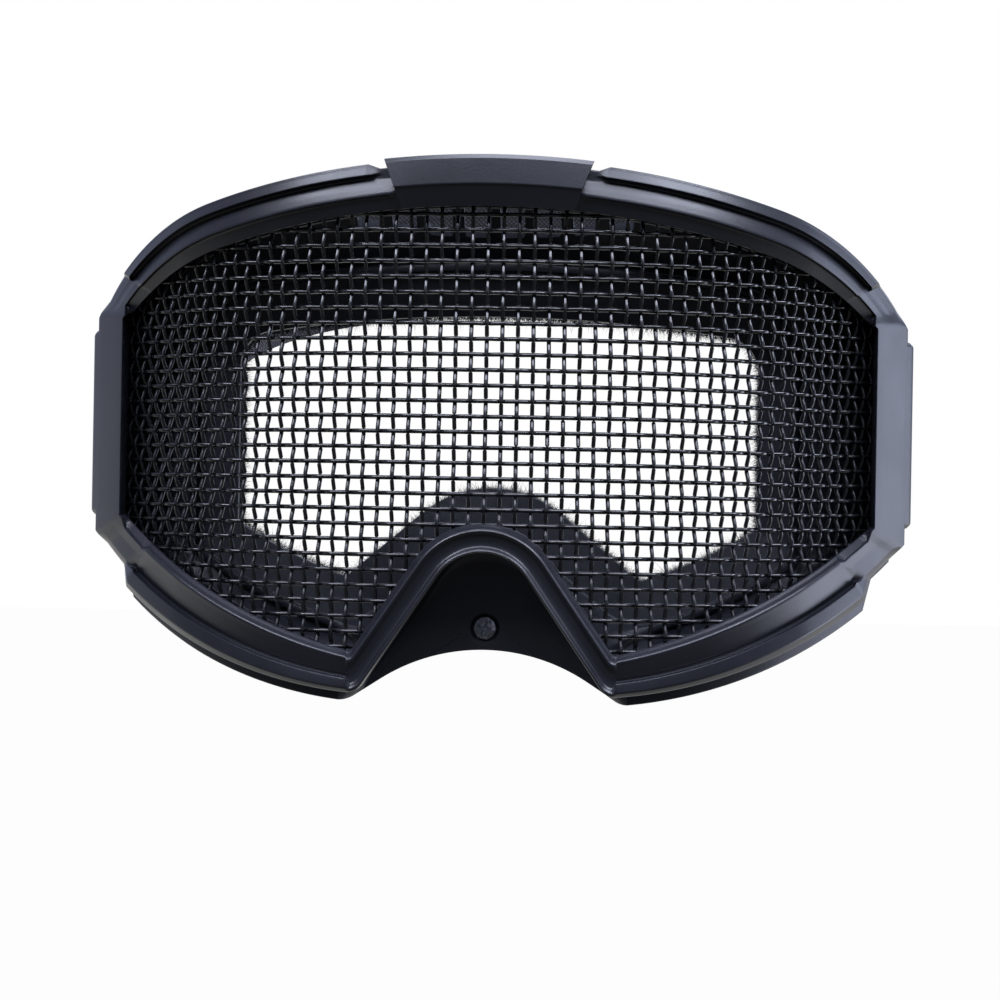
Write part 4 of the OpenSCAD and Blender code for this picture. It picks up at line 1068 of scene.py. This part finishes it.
def make_front_screws():
    y = WEB_Y + 0.05 - SEAT_Y
    end = WEB_Y + WEB_T + SEAT_GAP + BOSS_L - 0.5 - SEAT_Y
    nose = cross_head("nose_cross_screw", (0, y, NOSE_SCREW_Z), NOSE_HEAD_D, NOSE_HEAD_T,
                      NOSE_SCREW_D, end, 20)
    dress(nose, STEEL, "screw_steel", "goggles", "nose_screw")
    made = []
    for x, y, z in RIM_SCREWS:
        screw = cross_head("rim_screw", (0, 0, 0), RIM_SCREW_D + 1.2, 1.2, RIM_SCREW_D, 4.8, 30)
        made.append(to_frame(screw, (x, y + RIM_SEAT + 1.25, z), rotation(180, "Z")))
    piece = joined(*made)
    piece.name = "rim_screw_set"
    dress(piece, STEEL, "screw_steel", "goggles", "rim_screws")


# From the plate inwards: washer, clip and nut, with play between them
PLAY = 0.2
WASHER_T = 0.4
CLIP_T = 3
NUT_T = 2.9
NUT_D = 9.2
WASHER_IN = PLATE_IN - PLAY - WASHER_T
CLIP_IN = WASHER_IN - PLAY - CLIP_T
NUT_IN = CLIP_IN - SEAT_GAP - NUT_T
CLIP_X = CLIP_IN + CLIP_T / 2
SLOT_L, SLOT_W = 6.6, 1.1


def make_temple_hardware():
    y = PIVOT_Y - SEAT_Y
    x1 = OVERALL_W / 2
    screw = rod("temple_head_right", (x1 - HEAD_T, y, PLATE_Z), (x1, y, PLATE_Z), HEAD_D, 48)
    rounded_edges(screw, 0.5, 3)
    cut(screw, rod("shank", (NUT_IN - 0.3, y, PLATE_Z), (x1 - 0.6, y, PLATE_Z), PIVOT_D, 32),
        operation="UNION")
    groove = bar("groove", (x1 - 0.8, y - SLOT_L / 2, PLATE_Z - SLOT_W / 2),
                 (x1 + 0.8, y + SLOT_L / 2, PLATE_Z + SLOT_W / 2))
    cut(screw, turned(groove, (x1, y, PLATE_Z), 35, "X"))
    smooth(screw)
    nut = rod("temple_hex_right", (NUT_IN, y, PLATE_Z), (NUT_IN + NUT_T, y, PLATE_Z), NUT_D, 6)
    cut(nut, rod("bore", (NUT_IN - 1, y, PLATE_Z), (NUT_IN + 4, y, PLATE_Z), PIVOT_D + 0.1, 32))
    rounded_edges(nut, 0.35, 2)
    smooth(nut)
    for end in ("right", "left"):
        if end == "left":
            screw, nut = mirrored(screw, "temple_head_left"), mirrored(nut, "temple_hex_left")
        dress(screw, STEEL, "screw_steel", "goggles", "temple_screw_" + end)
        dress(nut, STEEL, "screw_steel", "goggles", "temple_nut_" + end)


# Strap, clips and sliders, drawn level and then tilted about the pivots
def tilted(piece):
    """From level at the pivots' height to the worn tilt, at the pivots."""
    return to_frame(piece, (0, PIVOT_Y - SEAT_Y, PLATE_Z), rotation(STRAP_TILT, "X"))


CLIP_HALF_H = STRAP_W / 2 + 3.5
CLIP_HUB_R = 8
CLIP_NECK = 12
CLIP_L = 17.0
CLIP_ARM_H = 2.7
BAR_D = 3.4


def make_clips():
    """A plate that turns on the temple screw, open towards the strap, and a bar across its end."""
    half, far = CLIP_HALF_H, CLIP_L + BAR_D / 2
    hub = [polar((0, 0), CLIP_HUB_R, 90 - a) for a in range(110, 251, 10)]
    outline = [(CLIP_NECK, half)] + hub + [(CLIP_NECK, -half), (far, -half), (far, half)]
    clip = blank("clip_right", outline, CLIP_IN, CLIP_IN + CLIP_T)
    inner = half - CLIP_ARM_H
    cut(clip,
        bar("window", (CLIP_IN - 1, CLIP_NECK - 1, -inner), (CLIP_IN + 4, far + 5, inner)),
        rod("bore", (CLIP_IN - 1, 0, 0), (CLIP_IN + 4, 0, 0), PIVOT_D + PIVOT_PLAY))
    rounded_edges(clip, 0.6, 3)
    joined(clip, rod("cross_bar", (CLIP_X, CLIP_L, -half + 0.5), (CLIP_X, CLIP_L, half - 0.5),
                     BAR_D, 24))
    tilted(clip)
    crisp(clip)
    other = mirrored(clip, "clip_left")
    dress(clip, ACETAL, "buckle_plastic", "strap", "strap_clip_right")
    dress(other, ACETAL, "buckle_plastic", "strap", "strap_clip_left")


WRAP_R = BAR_D / 2 + SEAT_GAP + STRAP_T / 2
FOLD_GAP = STRAP_T + SEAT_GAP
BACK_R, STRAP_TURN_R, BACK_L, TAIL_L = 100.0, 55.0, 148.0, 72.0
STRAP_TURN_X = 22.0
RIB_PITCH, RIB_D = 2.5, 0.12
strap_back_c = np.array([0.0, BACK_L - BACK_R])
strap_turn_c = np.array([STRAP_TURN_X, strap_back_c[1]
                         + math.sqrt((BACK_R - STRAP_TURN_R) ** 2 - STRAP_TURN_X ** 2)])
TURN_A0 = math.degrees(math.atan2(STRAP_TURN_X, strap_turn_c[1] - strap_back_c[1]))
bar_at = np.array([CLIP_X, CLIP_L])
to_turn = strap_turn_c - bar_at
STRAP_A = math.degrees(math.atan2(to_turn[1], to_turn[0])
                       - math.acos(-(WRAP_R + STRAP_TURN_R) / np.linalg.norm(to_turn)))
along_u = polar((0, 0), 1, 90 - STRAP_A)
along_v = np.array([-along_u[1], along_u[0]])


def by_bar(u, v):
    return bar_at + along_u * u + along_v * v


def strap_plan():
    """The strap's middle line in plan, from one sewn end round the back to the other."""
    half = [polar(strap_back_c, BACK_R, TURN_A0 * i / 14) for i in range(15)]
    half += [polar(strap_turn_c, STRAP_TURN_R, TURN_A0 + (90 - STRAP_A - TURN_A0) * i / 28)
             for i in range(1, 29)]
    start = by_bar(-WRAP_R, 0)
    half += [half[-1] + (start - half[-1]) * i / 16 for i in range(1, 16)]
    half += [by_bar(*polar((0, 0), -WRAP_R, 90 - 9 * i)) for i in range(21)]
    half += [by_bar(FOLD_GAP - WRAP_R, 16 + (TAIL_L - 16) * i / 14) for i in range(15)]
    half = np.array(half)
    return np.vstack([half[:0:-1] * [-1, 1], half])


def make_strap():
    """The ribbed band with its selvedges, one section carried along the plan."""
    plan = strap_plan()
    steps = np.diff(plan, axis=0)
    length = np.concatenate([[0], np.cumsum(np.linalg.norm(steps, axis=1))])
    unit = steps / np.linalg.norm(steps, axis=1)[:, None]
    before = np.vstack([unit[:1], unit])
    after = np.vstack([unit, unit[-1:]])
    n0, n1 = before[:, ::-1] * [-1, 1], after[:, ::-1] * [-1, 1]
    side = (n0 + n1) / (1 + (n0 * n1).sum(1))[:, None]
    across = np.linspace(-STRAP_W / 2, STRAP_W / 2, 62)
    rib = 0.5 + 0.5 * np.cos(2 * math.pi * (across + STRAP_W / 2) / RIB_PITCH)
    selvedge = np.clip((STRAP_W / 2 - np.abs(across)) / 0.9, 0, 1)
    thick = STRAP_T / 2 * np.sqrt(0.25 + 0.75 * selvedge) - RIB_D * rib * (selvedge >= 1)
    profile = [*zip(across, thick), *zip(across[::-1], -thick[::-1])]
    m = len(profile)
    points = []
    for p, n in zip(plan, side):
        for z, t in profile:
            points.append((p[0] + n[0] * t, p[1] + n[1] * t + SEAT_Y, z))
    faces = bands(len(plan), m)
    last = (len(plan) - 1) * m
    half = m // 2
    for k in range(half - 1):
        faces.append([k + 1, k, m - 1 - k, m - 2 - k])
        faces.append([last + k, last + k + 1, last + m - 2 - k, last + m - 1 - k])
    piece = mesh_of("elastic_band", points, faces)
    layer = piece.data.uv_layers.new(name="weave")
    for face in piece.data.polygons:
        for corner in face.loop_indices:
            v = piece.data.loops[corner].vertex_index
            layer.data[corner].uv = (profile[v % m][0] / 1000, length[v // m] / 1000)
    outward(piece)
    tilted(piece)
    smooth(piece, 50)
    dress(piece, ELASTIC, "elastic", "strap", "elastic_strap")
    return piece


STITCH_N, STITCH_PITCH = 13, 2.6


def make_stitches():
    """Two rows of lock stitches across each end of the strap, one capsule copied."""
    deselect()
    bpy.ops.mesh.primitive_uv_sphere_add(segments=8, ring_count=5, radius=0.0004)
    seed = named("stitch")
    seed.data.transform(Matrix.Scale(2.6, 4, (0, 0, 1)))
    made = []
    for sign in (-1, 1):
        for v in (TAIL_L - 3, TAIL_L - 6):
            x, y = by_bar(FOLD_GAP - WRAP_R + STRAP_T / 2 - 0.05, v)
            for k in range(STITCH_N):
                made.append(to_frame(copied(seed, "stitch"),
                                     (sign * x, y, (k - STITCH_N // 2) * STITCH_PITCH)))
    bpy.data.objects.remove(seed)
    piece = joined(*made)
    piece.name = "end_stitching"
    tilted(piece)
    smooth(piece, 60)
    dress(piece, THREAD, "elastic", "strap")
    return piece


SLIDER_AT = 42
SLIDER_HALF_L = 9
SLIDER_BAR = 3


def make_sliders():
    """Two rails with two bars outside the strap's fold and one inside it."""
    out = FOLD_GAP - WRAP_R + STRAP_T / 2 + SEAT_GAP
    inn = -WRAP_R - STRAP_T / 2 - SEAT_GAP
    z0, z1 = STRAP_W / 2 + 0.5, STRAP_W / 2 + 0.5 + SLIDER_BAR
    u0, u1, v1 = inn - 2, out + 2, SLIDER_HALF_L
    slider = bar("slider_right_frame", (u0, -v1, z0), (u1, v1, z1))
    parts = [bar("rail", (u0, -v1, -z1), (u1, v1, -z0)),
             bar("outer_bar", (out, -v1, -z0 - 1), (u1, -v1 + SLIDER_BAR, z0 + 1)),
             bar("outer_bar", (out, v1 - SLIDER_BAR, -z0 - 1), (u1, v1, z0 + 1)),
             bar("inner_bar", (u0, -SLIDER_BAR / 2, -z0 - 1), (inn, SLIDER_BAR / 2, z0 + 1))]
    cut(slider, *parts, operation="UNION")
    rounded_edges(slider, 0.5, 3)
    to_frame(slider, (0, SLIDER_AT, 0))
    to_frame(slider, (*bar_at, 0), rotation(STRAP_A, "Z"))
    tilted(slider)
    crisp(slider)
    other = mirrored(slider, "slider_left_frame")
    dress(slider, ACETAL, "buckle_plastic", "slider_right", "strap_slider_right")
    dress(other, ACETAL, "buckle_plastic", "slider_left", "strap_slider_left")


make_bezel()
make_brow_block()
make_woven_lens()
make_hood()
make_face_frame()
make_foam()
make_nap()
make_front_screws()
make_temple_hardware()
make_clips()
strap = make_strap()
stitching = make_stitches()
make_sliders()
for name, material in (("mesh_edge_band", WIRE), ("temple_washer_left", STEEL),
                       ("temple_washer_right", STEEL)):
    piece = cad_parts[name]
    if not piece.material_slots:
        piece.data.materials.append(material)
    for holder in piece.material_slots:
        holder.material = material


# Floor, world, lamps and camera
def seen_level(owner, where, across, shine, least):
    """1 to the camera and through gaps; to reflections dim in front, lighter behind."""
    path = node(owner, "ShaderNodeLightPath")
    seen = node(owner, "ShaderNodeMath", {0: path.outputs["Is Camera Ray"],
                                          1: path.outputs["Is Transmission Ray"]},
                operation="MAXIMUM").outputs[0]
    y = node(owner, "ShaderNodeSeparateXYZ", {"Vector": where}).outputs["Y"]
    back = node(owner, "ShaderNodeMapRange", {"Value": y, "From Min": across[0],
                                              "From Max": across[1], "To Min": shine[0],
                                              "To Max": shine[1]})
    gloss = node(owner, "ShaderNodeMath", {0: path.outputs["Is Glossy Ray"],
                                           1: back.outputs["Result"]}, operation="MULTIPLY")
    level = node(owner, "ShaderNodeMath", {0: seen, 1: gloss.outputs[0]}, operation="MAXIMUM")
    level = node(owner, "ShaderNodeMath", {0: level.outputs[0], 1: least}, operation="MAXIMUM")
    return seen, level.outputs[0]


def make_floor():
    m = bpy.data.materials.new("pale_floor_paint")
    m.use_nodes = True
    m.node_tree.nodes.clear()
    at = node(m, "ShaderNodeTexCoord").outputs["Object"]
    seen, level = seen_level(m, at, (-0.2, 0.3), (0.1, 0.8), 0.05)
    speck = node(m, "ShaderNodeTexNoise", {"Vector": at, "Scale": 3})
    colour = node(m, "ShaderNodeMix", {0: speck.outputs["Fac"], 6: linear("#f2f2f2"),
                                       7: linear("#f6f6f6")}, data_type="RGBA")
    paint = node(m, "ShaderNodeBsdfDiffuse", {"Color": colour.outputs[2]})
    glow = node(m, "ShaderNodeEmission", {"Color": (1, 1, 1, 1), "Strength": level})
    both = node(m, "ShaderNodeMixShader", {0: 0.98, 1: paint.outputs[0], 2: glow.outputs[0]})
    node(m, "ShaderNodeOutputMaterial", {"Surface": both.outputs[0]})
    deselect()
    bpy.ops.mesh.primitive_plane_add(size=30, location=(0, 0, -0.55))
    floor = named("studio_floor")
    bpy.ops.object.transform_apply(location=True)
    floor.data.materials.append(m)


def make_world():
    world = bpy.data.worlds.new("studio")
    bpy.context.scene.world = world
    world.use_nodes = True
    way = node(world, "ShaderNodeTexCoord").outputs["Generated"]
    seen, level = seen_level(world, way, (-0.2, 0.5), (0.2, 0.6), 0.06)
    tint = node(world, "ShaderNodeMix", {0: seen, 6: linear("#d5deff"), 7: (1, 1, 1, 1)},
                data_type="RGBA")
    ground = world.node_tree.nodes["Background"]
    world.node_tree.links.new(tint.outputs[2], ground.inputs["Color"])
    world.node_tree.links.new(level, ground.inputs["Strength"])


def lamp(name, at, power, size, colour):
    light = bpy.data.lights.new(name, "AREA")
    light.shape = "RECTANGLE"
    light.size, light.size_y = size
    light.energy = power
    light.color = linear(colour)[:3]
    holder = bpy.data.objects.new(name, light)
    holder.location = at
    aim = Vector((0, 0.03, 0)) - Vector(at)
    holder.rotation_euler = aim.to_track_quat("-Z", "Y").to_euler()
    bpy.context.scene.collection.objects.link(holder)


make_floor()
make_world()
lamp("front_strip", (0.05, -0.9, 0.95), 23, (1.9, 0.3), "#e8ecff")
lamp("right_softbox", (1.15, 0.45, -0.1), 8, (0.6, 1.2), "#dbe3ff")
lamp("right_high_softbox", (0.95, -0.5, 1.0), 14, (0.6, 0.4), "#e4eaff")
lamp("left_high_softbox", (-0.85, -0.6, 1.0), 11, (0.6, 0.4), "#e8ecff")
lamp("top_softbox", (0.05, 0.0, 1.1), 12, (0.9, 0.5), "#e8ecff")
lamp("rear_fill", (0.2, 1.3, 0.5), 2.5, (0.9, 0.5), "#eef2ff")

# Camera where the photograph was taken from: 0.78 m in front, a little to the right, rolled by 1
# degree
camera = bpy.data.cameras.new("camera")
camera.sensor_width = 36
camera.lens = 123.6
camera.shift_x = 0.016
camera.clip_end = 50
eye = bpy.data.objects.new("camera", camera)
eye.matrix_world = (Matrix.Translation((0.0436, -0.7797, -0.0145)) @ rotation(3.4, "Z")
                    @ rotation(90, "X") @ rotation(1.0, "Z"))
bpy.context.scene.collection.objects.link(eye)
bpy.context.scene.camera = eye
bpy.context.scene.view_settings.view_transform = "Standard"

deselect()
